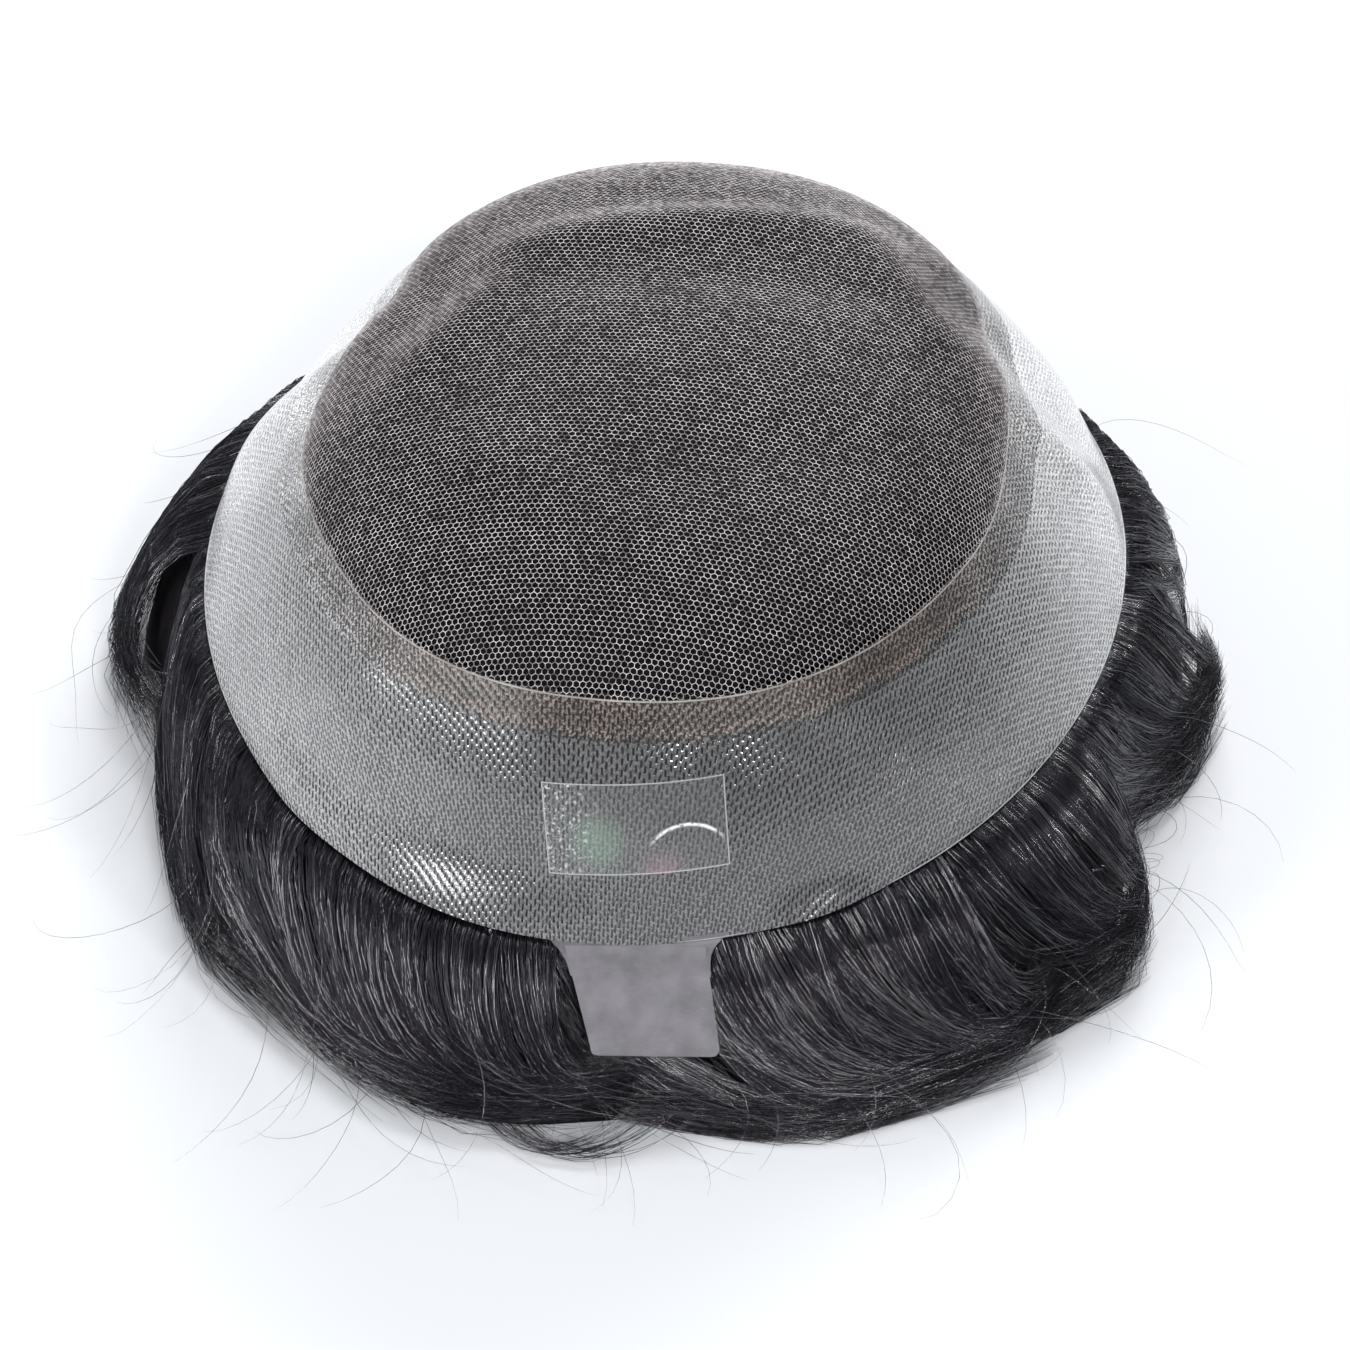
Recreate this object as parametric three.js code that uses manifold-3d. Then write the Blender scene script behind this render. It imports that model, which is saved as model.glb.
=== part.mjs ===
// A toupee shown inside out, standing on its own hair: a net crown with a clear skin rim
// round it, and the hair spilling out from under the rim in curled locks.
// Millimetres, +Z up, the front (with the pull tab) towards -Y, the floor at Z = 0.
import * as THREE from 'three';
import { ParametricGeometry } from 'three/addons/geometries/ParametricGeometry.js';
import { mergeVertices } from 'three/addons/utils/BufferGeometryUtils.js';
import Module from 'manifold-3d';

// The net crown, seen from above: half its width, and its reach from the crown point
const netHalfWidth = 51.5;
const netFrontReach = 72.5;
const netBackReach = 66.5;
const netSquareness = 2.15;
const crownRise = 18.6;
const crownTurnover = 0.985;
const netWall = 1;

// The skin rim: how far out and how far down it runs from the net, at three places
const rimFrontRun = 13;
const rimSideRun = 19.4;
const rimBackRun = 21;
const rimFrontDrop = 34;
const rimSideDrop = 25.6;
const rimBackDrop = 31;
const rimBulge = 1.8;
const rimBulgeRise = 0.6;
const skinWall = 1;

// Height of the rim's lower edge above the floor, at three places
const edgeFrontHeight = 25.7;
const edgeSideHeight = 30.6;
const edgeBackHeight = 24;

// The margin of the net that is bonded into the top of the skin
const seamWidth = 6;
const seamWall = 1.2;

// The pull tab, a strip of bare skin film that lies on the hair below the front edge
const tabWidth = 20;
const tabEndWidth = 18.2;
const tabLength = 15.5;
const tabWall = 0.8;
const tabCorner = 1.2;
const tabTilt = 46;
const tabSkew = 11;
const tabTurn = -85;

// The blank clear sticker on the front of the rim
const labelWidth = 26;
const labelHeight = 13.5;
const labelWall = 0.4;
const labelTurn = -84.8;
const labelDrop = 18.5;
const labelTilt = 4;

// The hair: the layer under the net, and the locks that are set in the skin's edge
const liningDepth = 6;
const hairSpread = 25;
const lockWidth = 42;
const lockDepth = 15;
const lockSetBack = 9;
const lockTaper = 0.6;
const ridgeHeight = 0.12;
const ridgeCount = 5;

// The body of hair under the skin that the locks grow out of
// hairEnd and bedTurn are places down the skin, where 1 is its top and 2 is its free edge.
const bedOverhang = 7;
const bedWidth = 21;
const bedThickening = 1.5;
const bedTurn = 1.7;
const hairEnd = 1.97;

// Gaps: between neighbouring pieces, and from the hair to what it hangs from
const seat = 0.3;
const hairSeat = 0.5;

// Facets: round the object, down each band, round a lock and along it
const aroundSteps = 52;
const crownSteps = 12;
const liningSteps = 4;
const rimSteps = 5;
const lockSides = 10;
const lockSteps = 8;

// Turn angles are in degrees, counter-clockwise from +X seen from above.
// Dents of the net's outline. depth is a share of netHalfWidth, spread is in degrees.
const netNotches = [
  { turn: 160, depth: 0.045, spread: 9 },
  { turn: 194, depth: -0.045, spread: 16 },
  { turn: 22, depth: 0.035, spread: 7 },
  { turn: 342, depth: -0.02, spread: 14 },
];

// Folds of the net. x and y are shares of the net's half width and front reach, length and
// width are shares of the half width, height is a share of crownRise, turn is its direction.
const netFolds = [
  { x: 0.04, y: 0.36, turn: 14, length: 0.72, width: 0.11, height: 0.1 },
  { x: 0.72, y: 0.24, turn: -50, length: 0.34, width: 0.11, height: 0.1 },
  { x: 0.8, y: 0.42, turn: -52, length: 0.3, width: 0.13, height: -0.13 },
  { x: 0.15, y: 0.16, turn: 8, length: 0.5, width: 0.15, height: -0.07 },
  { x: -0.62, y: -0.02, turn: 62, length: 0.36, width: 0.11, height: 0.09 },
  { x: -0.76, y: 0.12, turn: 70, length: 0.3, width: 0.13, height: -0.12 },
  { x: 0.3, y: -0.42, turn: 24, length: 0.5, width: 0.16, height: -0.06 },
  { x: -0.4, y: -0.5, turn: -30, length: 0.4, width: 0.14, height: 0.06 },
];

// Waves of the skin rim. lift is a share of rimBulge, spread is in degrees.
const rimWaves = [
  { turn: 6, lift: 0.8, spread: 3.5 },
  { turn: 16, lift: -0.7, spread: 4 },
  { turn: 27, lift: 0.4, spread: 5 },
  { turn: 163, lift: -0.8, spread: 6 },
  { turn: 178, lift: 0.9, spread: 6 },
  { turn: 200, lift: -0.5, spread: 8 },
  { turn: 232, lift: 0.5, spread: 8 },
  { turn: 308, lift: 0.4, spread: 9 },
  { turn: 70, lift: 0.6, spread: 9 },
  { turn: 118, lift: -0.5, spread: 8 },
];

// The main locks. A lock leaves the edge at root and curls round to tip, in degrees. reach is
// how far out it swings and curl how far out its tip ends, both as shares of hairSpread.
// rise is the height of its tip as a share of the edge's, girth a share of lockWidth.
const mainLocks = [
  { root: 165, tip: 204, reach: 0.7, curl: 0.34, rise: 0.3, girth: 1.0 },
  { root: 211, tip: 250, reach: 0.58, curl: 0.68, rise: 0.14, girth: 0.9 },
  { root: 242, tip: 279, reach: 0.84, curl: 0.56, rise: 0.14, girth: 1.0 },
  { root: 277, tip: 317, reach: 0.76, curl: 0.8, rise: 0.18, girth: 1.05 },
  { root: 305, tip: 341, reach: 0.9, curl: 0.4, rise: 0.42, girth: 0.95 },
  { root: 343, tip: 383, reach: 0.7, curl: 0.46, rise: 0.4, girth: 0.95 },
  { root: 14, tip: 44, reach: 0.48, curl: 0.34, rise: 0.28, girth: 0.9 },
  { root: 45, tip: 78, reach: 0.5, curl: 0.4, rise: 0.2, girth: 0.9 },
  { root: 77, tip: 113, reach: 0.66, curl: 0.46, rise: 0.16, girth: 1.0 },
  { root: 112, tip: 148, reach: 0.44, curl: 0.3, rise: 0.2, girth: 0.9 },
];

// The curve of a lock from its root to its tip. travel is a share of the way round; back, swing
// and curl are shares of lockSetBack and of the lock's own reach and curl; height is a share of
// the edge's height, and lift and rise are how much of the layer's lift and the tip's rise it has.
const lockCurve = [
  { travel: -0.04, back: 1, swing: 0, curl: 0, height: 0.7, lift: 0, rise: 0 },
  { travel: 0.03, back: 0, swing: 0.1, curl: 0, height: 0.62, lift: 0.5, rise: 0 },
  { travel: 0.16, back: 0, swing: 0.62, curl: 0, height: 0.52, lift: 1, rise: 0 },
  { travel: 0.42, back: 0, swing: 1, curl: 0, height: 0.38, lift: 1, rise: 0 },
  { travel: 0.74, back: 0, swing: 0.55, curl: 0.45, height: 0.2, lift: 1, rise: 0.4 },
  { travel: 1, back: 0, swing: 0, curl: 1, height: 0.1, lift: 0.6, rise: 1 },
];

// The outside of the body of hair, from the skin's edge down to the floor and in again. over
// is a share of bedOverhang, inward a share of bedWidth, height a share of the edge's height.
const bedOutline = [
  { over: 0.7, inward: 0, height: 0.72 },
  { over: 1, inward: 0, height: 0.38 },
  { over: 0.5, inward: 0, height: -0.03 },
  { over: 0.5, inward: 1, height: -0.03 },
];

// Each lock is two layers of hair. lag is in degrees; reach, lift and girth are shares of the
// lock's own reach, the edge's height and the lock's girth.
const lockLayers = [
  { lag: 0, reach: 1, lift: 0, girth: 1 },
  { lag: -13, reach: 0.78, lift: 0.2, girth: 0.66 },
];

const radians = THREE.MathUtils.degToRad;
const whole = 2 * Math.PI;
const up = new THREE.Vector3(0, 0, 1);

// How far a turn lies from a place, in degrees, the short way round
function turnFrom(turn, place) {
  const away = THREE.MathUtils.euclideanModulo(THREE.MathUtils.radToDeg(turn) - place, 360);
  return Math.min(away, 360 - away);
}

// A smooth hump of height 1 whose width is spread
function hump(away, spread) {
  return Math.exp(-((away / spread) ** 2));
}

// A value that is given at the front, the sides and the back
function roundValue(turn, front, side, back) {
  const end = Math.sin(turn) < 0 ? front : back;
  return side + (end - side) * Math.sin(turn) ** 2;
}

// The line where the net meets the skin
function netLine(turn) {
  const dents = netNotches.map((n) => n.depth * hump(turnFrom(turn, n.turn), n.spread));
  const inward = netHalfWidth * dents.reduce((sum, dent) => sum + dent, 0);
  const reach = Math.sin(turn) < 0 ? netFrontReach : netBackReach;
  const drop = roundValue(turn, rimFrontDrop, rimSideDrop, rimBackDrop);
  const across = Math.abs(Math.cos(turn)) ** netSquareness;
  const along = Math.abs(Math.sin(turn)) ** netSquareness;
  const square = (across + along) ** (-1 / netSquareness);
  return new THREE.Vector3(
    (netHalfWidth - inward) * square * Math.cos(turn),
    (reach - inward) * square * Math.sin(turn),
    edgeHeight(turn) + drop,
  );
}

function edgeHeight(turn) {
  return roundValue(turn, edgeFrontHeight, edgeSideHeight, edgeBackHeight);
}

// The free edge of the skin
function edgeLine(turn) {
  const endRun = Math.sin(turn) < 0 ? rimFrontRun : rimBackRun;
  const endReach = Math.sin(turn) < 0 ? netFrontReach : netBackReach;
  return new THREE.Vector3(
    (netHalfWidth + rimSideRun) * Math.cos(turn),
    (endReach + endRun) * Math.sin(turn),
    edgeHeight(turn),
  );
}

function foldHeight(x, y) {
  let height = 0;
  for (const fold of netFolds) {
    const away = new THREE.Vector2(x - fold.x * netHalfWidth, y - fold.y * netFrontReach)
      .rotateAround(new THREE.Vector2(), -radians(fold.turn))
      .divideScalar(netHalfWidth);
    height += fold.height * hump(away.x, fold.length) * hump(away.y, fold.width);
  }
  return crownRise * height;
}

// The upper surface of the base. share runs from 0 at the crown point, through 1 at the
// net's outline, to 2 at the free edge of the skin.
const meanNetHeight = (netLine(0).z + netLine(whole / 4).z + netLine(whole * 3 / 4).z) / 3;

// The height of a unit arc that has turned crownTurnover of the way over at the net's outline
function arcHeight(share) {
  return Math.sqrt(1 - (crownTurnover * share) ** 2);
}

function baseSurface(share, turn) {
  const net = netLine(turn);
  if (share <= 1) {
    const x = net.x * share;
    const y = net.y * share;
    const flat = net.z * share ** 2 + meanNetHeight * (1 - share ** 2);
    const dome = crownRise * (arcHeight(share) - arcHeight(1)) / (1 - arcHeight(1));
    return new THREE.Vector3(x, y, flat + dome + foldHeight(x, y) * (1 - share ** 4));
  }
  const down = share - 1;
  const edge = edgeLine(turn);
  let swell = 1;
  for (const wave of rimWaves) swell += wave.lift * hump(turnFrom(turn, wave.turn), wave.spread);
  const outward = new THREE.Vector3(Math.cos(turn), Math.sin(turn), rimBulgeRise).normalize();
  const bulge = rimBulge * swell * Math.sin(Math.PI * Math.min(down, 1));
  return net.lerp(edge, down).addScaledVector(outward, bulge);
}

// A point at a depth under the upper surface of the base
function underBase(share, turn, depth) {
  const step = 0.02;
  const place = baseSurface(share, turn);
  if (share < step) return place.addScaledVector(up, -depth);
  const along = baseSurface(share + step, turn).sub(baseSurface(share - step, turn));
  const round = baseSurface(share, turn + step).sub(baseSurface(share, turn - step));
  return place.addScaledVector(along.cross(round).normalize(), -depth);
}

// A point so many millimetres outside the skin's free edge, at a height
function outsideEdge(turn, out, height) {
  const edge = edgeLine(turn);
  const outward = new THREE.Vector3(edge.x, edge.y, 0).normalize();
  return edge.setZ(height).addScaledVector(outward, out);
}

// The share at which the skin has run a length down from the net
function shareDown(turn, length) {
  return 1 + length / netLine(turn).distanceTo(edgeLine(turn));
}

// A cross-section, given as points, carried round the object. A bowl's starts and ends on
// the axis, and a band's closes on itself.
function carriedRound(sectionAt, closes) {
  const count = sectionAt(0).length;
  const rows = closes ? count : count - 1;
  const sections = Array.from({ length: aroundSteps }, (_, k) => sectionAt(whole * k / aroundSteps));
  return new ParametricGeometry(
    (u, v, target) => {
      const section = sections[Math.round(u * aroundSteps) % aroundSteps];
      target.copy(section[Math.round(v * rows) % count]);
    },
    aroundSteps,
    rows,
  );
}

function bandAround(sectionAt) {
  return carriedRound(sectionAt, true);
}

function bowlAround(sectionAt) {
  return carriedRound(sectionAt, false);
}

// Points at one depth under the base, between two shares
function underLine(turn, from, to, depth, steps) {
  return Array.from({ length: steps + 1 }, (_, k) =>
    underBase(THREE.MathUtils.lerp(from, to, k / steps), turn, depth));
}

// The cross-section of a wall of the base between two shares
function wallSection(turn, from, to, wall, steps) {
  return [...underLine(turn, from, to, 0, steps), ...underLine(turn, to, from, wall, steps)];
}

// The share at which the net ends, a gap short of its outline
function netEnd(turn) {
  return 1 - seat / Math.hypot(netLine(turn).x, netLine(turn).y);
}

const wasm = await Module();
wasm.setup();

// A closed geometry as a solid that can be joined and cut, its faces turned outwards
function solidOf(geometry) {
  const bare = new THREE.BufferGeometry();
  bare.setIndex(geometry.index);
  bare.setAttribute('position', geometry.getAttribute('position'));
  const merged = mergeVertices(bare, 1e-4);
  const vertProperties = new Float32Array(merged.getAttribute('position').array);
  const triVerts = new Uint32Array(merged.index.array);
  const solid = new wasm.Manifold(new wasm.Mesh({ numProp: 3, vertProperties, triVerts }));
  if (solid.volume() > 0) return solid;
  const turned = triVerts.reverse();
  return new wasm.Manifold(new wasm.Mesh({ numProp: 3, vertProperties, triVerts: turned }));
}

function geometryOf(solid) {
  const mesh = solid.getMesh();
  const geometry = new THREE.BufferGeometry();
  geometry.setAttribute('position', new THREE.BufferAttribute(mesh.vertProperties, 3));
  geometry.setIndex(new THREE.BufferAttribute(mesh.triVerts, 1));
  return geometry;
}

// The net, a domed wall with its folds
function netCrown() {
  return solidOf(bowlAround((turn) => wallSection(turn, 0, netEnd(turn), netWall, crownSteps)));
}

// The bonded margin of the net, at the top of the skin
function seamBand() {
  return solidOf(bandAround((turn) =>
    wallSection(turn, shareDown(turn, seat), shareDown(turn, seamWidth), seamWall, 2)));
}

function skinRim() {
  return solidOf(bandAround((turn) =>
    wallSection(turn, shareDown(turn, seamWidth + seat), 2, skinWall, rimSteps)));
}

// Where the tab's top edge lies: its middle, and its directions across, down and out
function tabPlace() {
  const middle = edgeLine(radians(tabTurn));
  const step = tabWidth / 2 / edgeLine(0).x;
  const left = edgeLine(radians(tabTurn) - step);
  const right = edgeLine(radians(tabTurn) + step);
  const across = right.clone().sub(left).setZ(0).normalize();
  const outward = new THREE.Vector3().crossVectors(across, up);
  const tilt = radians(tabTilt);
  const down = outward.clone().multiplyScalar(Math.cos(tilt)).addScaledVector(up, -Math.sin(tilt));
  const face = new THREE.Vector3().crossVectors(across, down).negate();
  const swell = middle.clone().sub(left).dot(outward);
  const top = left.lerp(right, 0.5).addScaledVector(outward, swell);
  return { top, across, down, face };
}

// A plate in the tab's plane, whose outline is grown by a margin
function tabPlate(margin, wall, sink) {
  const { top, across, down, face } = tabPlace();
  const topHalf = tabWidth / 2 + margin;
  const endHalf = tabEndWidth / 2 + margin;
  const side = Math.tan(radians(tabSkew)) * tabLength;
  const low = seat + tabLength + margin;
  const outline = new THREE.Shape()
    .moveTo(-topHalf, seat - margin)
    .lineTo(topHalf, seat - margin)
    .lineTo(side + endHalf, low - tabCorner)
    .quadraticCurveTo(side + endHalf, low, side + endHalf - tabCorner, low)
    .lineTo(side - endHalf + tabCorner, low)
    .quadraticCurveTo(side - endHalf, low, side - endHalf, low - tabCorner);
  const plate = new THREE.ExtrudeGeometry(outline, { depth: wall, bevelEnabled: false, curveSegments: 4 });
  plate.translate(0, 0, sink);
  plate.applyMatrix4(new THREE.Matrix4().makeBasis(across, down, face).setPosition(top));
  return solidOf(plate);
}

function pullTab() {
  return tabPlate(0, tabWall, -tabWall);
}

// The sticker, a thin sheet that follows the skin under it
function sizeLabel() {
  const sheet = new THREE.BoxGeometry(labelWidth, labelHeight, labelWall, 8, 4, 1);
  sheet.rotateZ(radians(labelTilt));
  const place = sheet.getAttribute('position');
  for (let k = 0; k < place.count; k += 1) {
    const halfWidth = baseSurface(shareDown(0, labelDrop - place.getY(k)), 0).x;
    const turn = radians(labelTurn) + place.getX(k) / halfWidth;
    const share = shareDown(turn, labelDrop - place.getY(k));
    const clear = seat + labelWall / 2 + place.getZ(k);
    const point = underBase(share, turn, -clear);
    place.setXYZ(k, point.x, point.y, point.z);
  }
  return solidOf(sheet);
}

// The hair knotted to the net, lying against its underside
function crownHair() {
  const top = netWall + hairSeat;
  return solidOf(bowlAround((turn) => [
    ...underLine(turn, 0, netEnd(turn), top, crownSteps),
    ...underLine(turn, netEnd(turn), 0, top + liningDepth, liningSteps),
  ]));
}

// The body of hair under the skin, down to the floor, that the locks grow out of
function hairBed() {
  const under = seamWall + hairSeat;
  return solidOf(bandAround((turn) => {
    const start = shareDown(turn, seamWidth / 2);
    return [
      underBase(start, turn, under),
      underBase(hairEnd, turn, under),
      ...bedOutline.map((row) => outsideEdge(
        turn,
        bedOverhang * row.over - bedWidth * row.inward,
        edgeHeight(turn) * row.height,
      )),
      underBase(bedTurn, turn, under + liningDepth * bedThickening),
      underBase(start, turn, under + liningDepth),
    ];
  }));
}

// The middle line of a lock in one of its layers
function lockSpine(lock, layer) {
  const reach = hairSpread * lock.reach * layer.reach - lockDepth / 2;
  const curl = hairSpread * lock.curl * layer.reach - lockDepth / 2;
  return new THREE.CatmullRomCurve3(lockCurve.map((row) => {
    const turn = radians(THREE.MathUtils.lerp(lock.root, lock.tip, row.travel) + layer.lag);
    const out = reach * row.swing + curl * row.curl - lockSetBack * row.back;
    const height = row.height + layer.lift * row.lift + lock.rise * row.rise;
    return outsideEdge(turn, out, height * edgeHeight(turn));
  }));
}

// One tapering lock. Its flat side faces up and out, and ridges run along it.
function hairLock(lock, layer) {
  const spine = lockSpine(lock, layer);
  const width = lockWidth * lock.girth * layer.girth / 2;
  const depth = lockDepth * layer.girth / 2;
  return solidOf(new ParametricGeometry(
    (u, v, target) => {
      const middle = spine.getPoint(v);
      const along = spine.getTangent(v);
      const out = new THREE.Vector3(middle.x, middle.y, 0).normalize().add(up);
      const face = out.addScaledVector(along, -out.dot(along)).normalize();
      const across = new THREE.Vector3().crossVectors(along, face);
      const angle = whole * (u % 1);
      const taper = v === 0 ? 0 : (1 - v) ** lockTaper;
      const ridges = 1 + ridgeHeight * Math.cos(ridgeCount * angle);
      target.copy(middle)
        .addScaledVector(across, width * taper * Math.cos(angle))
        .addScaledVector(face, depth * Math.sqrt(taper) * ridges * Math.sin(angle));
    },
    lockSides,
    lockSteps,
  ));
}

// Everything above the underside of the base, which no hair may enter
function spaceOverBase() {
  const roof = meanNetHeight + 3 * crownRise;
  const depth = seamWall + hairSeat;
  return solidOf(bowlAround((turn) => [
    ...underLine(turn, 0, 1, depth, liningSteps),
    ...underLine(turn, shareDown(turn, seamWidth), 2, depth, rimSteps),
    outsideEdge(turn, seat, edgeHeight(turn) - depth),
    outsideEdge(turn, seat, roof),
    new THREE.Vector3(0, 0, roof),
  ]));
}

function floorBlock() {
  const side = 4 * (netFrontReach + netBackReach);
  return solidOf(new THREE.BoxGeometry(side, side, side).translate(0, 0, -side / 2));
}

// The hair that is set in the skin: locks joined to their bed and cut clear of the rest
function edgeHair() {
  const locks = mainLocks.flatMap((lock) => lockLayers.map((layer) => hairLock(lock, layer)));
  const grown = locks.reduce((hair, lock) => hair.add(lock), hairBed());
  const overTab = tabPlate(seat, hairSpread * 2, -tabWall - seat);
  const cut = grown.subtract(spaceOverBase()).subtract(overTab).subtract(floorBlock());
  return cut.decompose().reduce((most, piece) => (piece.volume() > most.volume() ? piece : most));
}

const netFinish = new THREE.MeshStandardMaterial({ color: 0x8c8279, roughness: 0.85, metalness: 0 });
const seamFinish = new THREE.MeshStandardMaterial({ color: 0x9a8676, roughness: 0.6, metalness: 0 });
const skinFinish = new THREE.MeshStandardMaterial({ color: 0xb9bcbe, roughness: 0.25, metalness: 0 });
const filmFinish = new THREE.MeshStandardMaterial({ color: 0xa9a7a8, roughness: 0.45, metalness: 0 });
const labelFinish = new THREE.MeshStandardMaterial({ color: 0xc4cac8, roughness: 0.12, metalness: 0 });
const hairFinish = new THREE.MeshStandardMaterial({ color: 0x1b181b, roughness: 0.4, metalness: 0 });

function named(name, solid, material) {
  const mesh = new THREE.Mesh(geometryOf(solid), material);
  mesh.name = name;
  return mesh;
}

const hairpiece = new THREE.Group();
hairpiece.add(
  named('net_crown', netCrown(), netFinish),
  named('seam_band', seamBand(), seamFinish),
  named('skin_rim', skinRim(), skinFinish),
  named('pull_tab', pullTab(), filmFinish),
  named('size_label', sizeLabel(), labelFinish),
  named('crown_hair', crownHair(), hairFinish),
  named('edge_hair', edgeHair(), hairFinish),
);

// The origin is on the floor, under the middle of the whole piece
const extent = new THREE.Box3().setFromObject(hairpiece);
const middle = extent.getCenter(new THREE.Vector3());
hairpiece.position.set(-middle.x, -middle.y, -extent.min.z);

export default new THREE.Group().add(hairpiece);
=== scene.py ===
import math
import bpy
import numpy as np
from mathutils import Matrix, Vector


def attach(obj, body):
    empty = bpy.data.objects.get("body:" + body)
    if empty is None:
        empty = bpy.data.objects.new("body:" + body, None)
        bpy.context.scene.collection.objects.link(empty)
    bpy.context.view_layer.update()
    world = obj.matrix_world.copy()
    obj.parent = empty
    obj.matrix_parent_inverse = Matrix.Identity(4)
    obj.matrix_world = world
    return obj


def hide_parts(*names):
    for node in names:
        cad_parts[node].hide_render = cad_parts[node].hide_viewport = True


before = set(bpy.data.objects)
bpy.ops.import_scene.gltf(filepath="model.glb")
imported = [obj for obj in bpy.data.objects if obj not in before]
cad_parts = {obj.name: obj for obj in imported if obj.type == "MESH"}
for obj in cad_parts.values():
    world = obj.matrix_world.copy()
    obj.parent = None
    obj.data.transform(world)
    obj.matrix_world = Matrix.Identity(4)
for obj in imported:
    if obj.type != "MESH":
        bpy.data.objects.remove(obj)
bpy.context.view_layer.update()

bpy.ops.object.select_all(action="DESELECT")


# The table and the studio: a white table top, white all round, one soft light overhead, one
# behind, and three smaller ones at the front that put the gloss on the film. The hairpiece is
# seen from about 40 degrees up, a little to the right of its front edge.
bpy.ops.mesh.primitive_plane_add(size=6, location=(0, 0, -0.0002))
table_top = bpy.context.object
table_top.name = "table_top"
table_paint = bpy.data.materials.new("white_table")
table_paint.use_nodes = True
table_shader = table_paint.node_tree.nodes["Principled BSDF"]
table_shader.inputs["Base Color"].default_value = (0.68, 0.694, 0.722, 1)
table_shader.inputs["Roughness"].default_value = 0.6
table_top.data.materials.append(table_paint)

studio_air = bpy.data.worlds.new("studio_air")
studio_air.use_nodes = True
studio_air.node_tree.nodes["Background"].inputs["Color"].default_value = (0.95, 0.97, 1, 1)
studio_air.node_tree.nodes["Background"].inputs["Strength"].default_value = 0.31
bpy.context.scene.world = studio_air
bpy.context.scene.view_settings.view_transform = "Standard"


def soft_light(name, place, size, watts):
    bpy.ops.object.light_add(type="AREA", location=place)
    lamp = bpy.context.object
    lamp.name = name
    lamp.data.shape = "RECTANGLE"
    lamp.data.size, lamp.data.size_y = size
    lamp.data.energy = watts
    lamp.rotation_euler = (Vector((0, 0, 0.04)) - Vector(place)).to_track_quat("-Z", "Y").to_euler()


soft_light("overhead_softbox", (0.15, 0.2, 1.1), (0.4, 0.3), 4)
soft_light("back_softbox", (0.12, 0.84, 0.66), (0.6, 0.3), 7)
soft_light("camera_side_softbox", (0.38, -0.9, 0.8), (0.2, 0.15), 5)
soft_light("left_strip_light", (-0.92, -0.58, 0.525), (1.0, 0.2), 12)
soft_light("right_front_softbox", (0.725, -0.587, 0.62), (0.17, 0.12), 3)

bpy.ops.object.camera_add(location=(0.070793, -0.553069, 0.46868))
photo_camera = bpy.context.object
photo_camera.name = "photo_camera"
photo_camera.data.sensor_width = 36
photo_camera.data.lens = 121.875
view_line = Vector((0.005863, -0.036119, 0.035)) - photo_camera.location
photo_camera.rotation_euler = view_line.to_track_quat("-Z", "Y").to_euler()
bpy.context.scene.camera = photo_camera


# The crown net: hexagonal net of fine beige thread, domed over the crown with a few soft folds,
# and bonded into the film all round. Each thread is a low ridge between two cells; the net is
# laid on the crown by its own length from the middle, as the real one is stretched over a form.
crown_offset = np.array((0.0633, 0.2815, 0.0))
net_half_width, net_front_reach, net_back_reach = 51.5, 72.5, 66.5
net_squareness = 2.15
crown_rise, crown_turnover = 18.6, 0.985
rim_front_run, rim_side_run, rim_back_run = 13, 19.4, 21
rim_front_drop, rim_side_drop, rim_back_drop = 34, 25.6, 31
rim_bulge, rim_bulge_rise = 1.8, 0.6
edge_front_height, edge_side_height, edge_back_height = 25.7, 30.6, 24
net_notches = ((160, 0.045, 9), (194, -0.045, 16), (22, 0.035, 7), (342, -0.02, 14))
net_folds = (
    (0.04, 0.36, 14, 0.72, 0.11, 0.1),
    (0.72, 0.24, -50, 0.34, 0.11, 0.1),
    (0.8, 0.42, -52, 0.3, 0.13, -0.13),
    (0.15, 0.16, 8, 0.5, 0.15, -0.07),
    (-0.62, -0.02, 62, 0.36, 0.11, 0.09),
    (-0.76, 0.12, 70, 0.3, 0.13, -0.12),
    (0.3, -0.42, 24, 0.5, 0.16, -0.06),
    (-0.4, -0.5, -30, 0.4, 0.14, 0.06),
)
rim_waves = (
    (6, 0.8, 3.5), (16, -0.7, 4), (27, 0.4, 5), (163, -0.8, 6), (178, 0.9, 6),
    (200, -0.5, 8), (232, 0.5, 8), (308, 0.4, 9), (70, 0.6, 9), (118, -0.5, 8),
)
cell_pitch = 0.95
thread_width = 0.115
thread_height = 0.08


def hump(away, spread):
    return np.exp(-((away / spread) ** 2))


def turn_from(turn, place):
    away = (np.degrees(turn) - place) % 360
    return np.minimum(away, 360 - away)


def round_value(turn, front, side, back):
    end = np.where(np.sin(turn) < 0, front, back)
    return side + (end - side) * np.sin(turn) ** 2


def edge_height(turn):
    return round_value(turn, edge_front_height, edge_side_height, edge_back_height)


def net_line(turn):
    inward = net_half_width * sum(d * hump(turn_from(turn, t), s) for t, d, s in net_notches)
    reach = np.where(np.sin(turn) < 0, net_front_reach, net_back_reach)
    across = np.abs(np.cos(turn)) ** net_squareness
    along = np.abs(np.sin(turn)) ** net_squareness
    square = (across + along) ** (-1 / net_squareness)
    drop = round_value(turn, rim_front_drop, rim_side_drop, rim_back_drop)
    return np.stack((
        (net_half_width - inward) * square * np.cos(turn),
        (reach - inward) * square * np.sin(turn),
        edge_height(turn) + drop,
    ), axis=-1)


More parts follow.
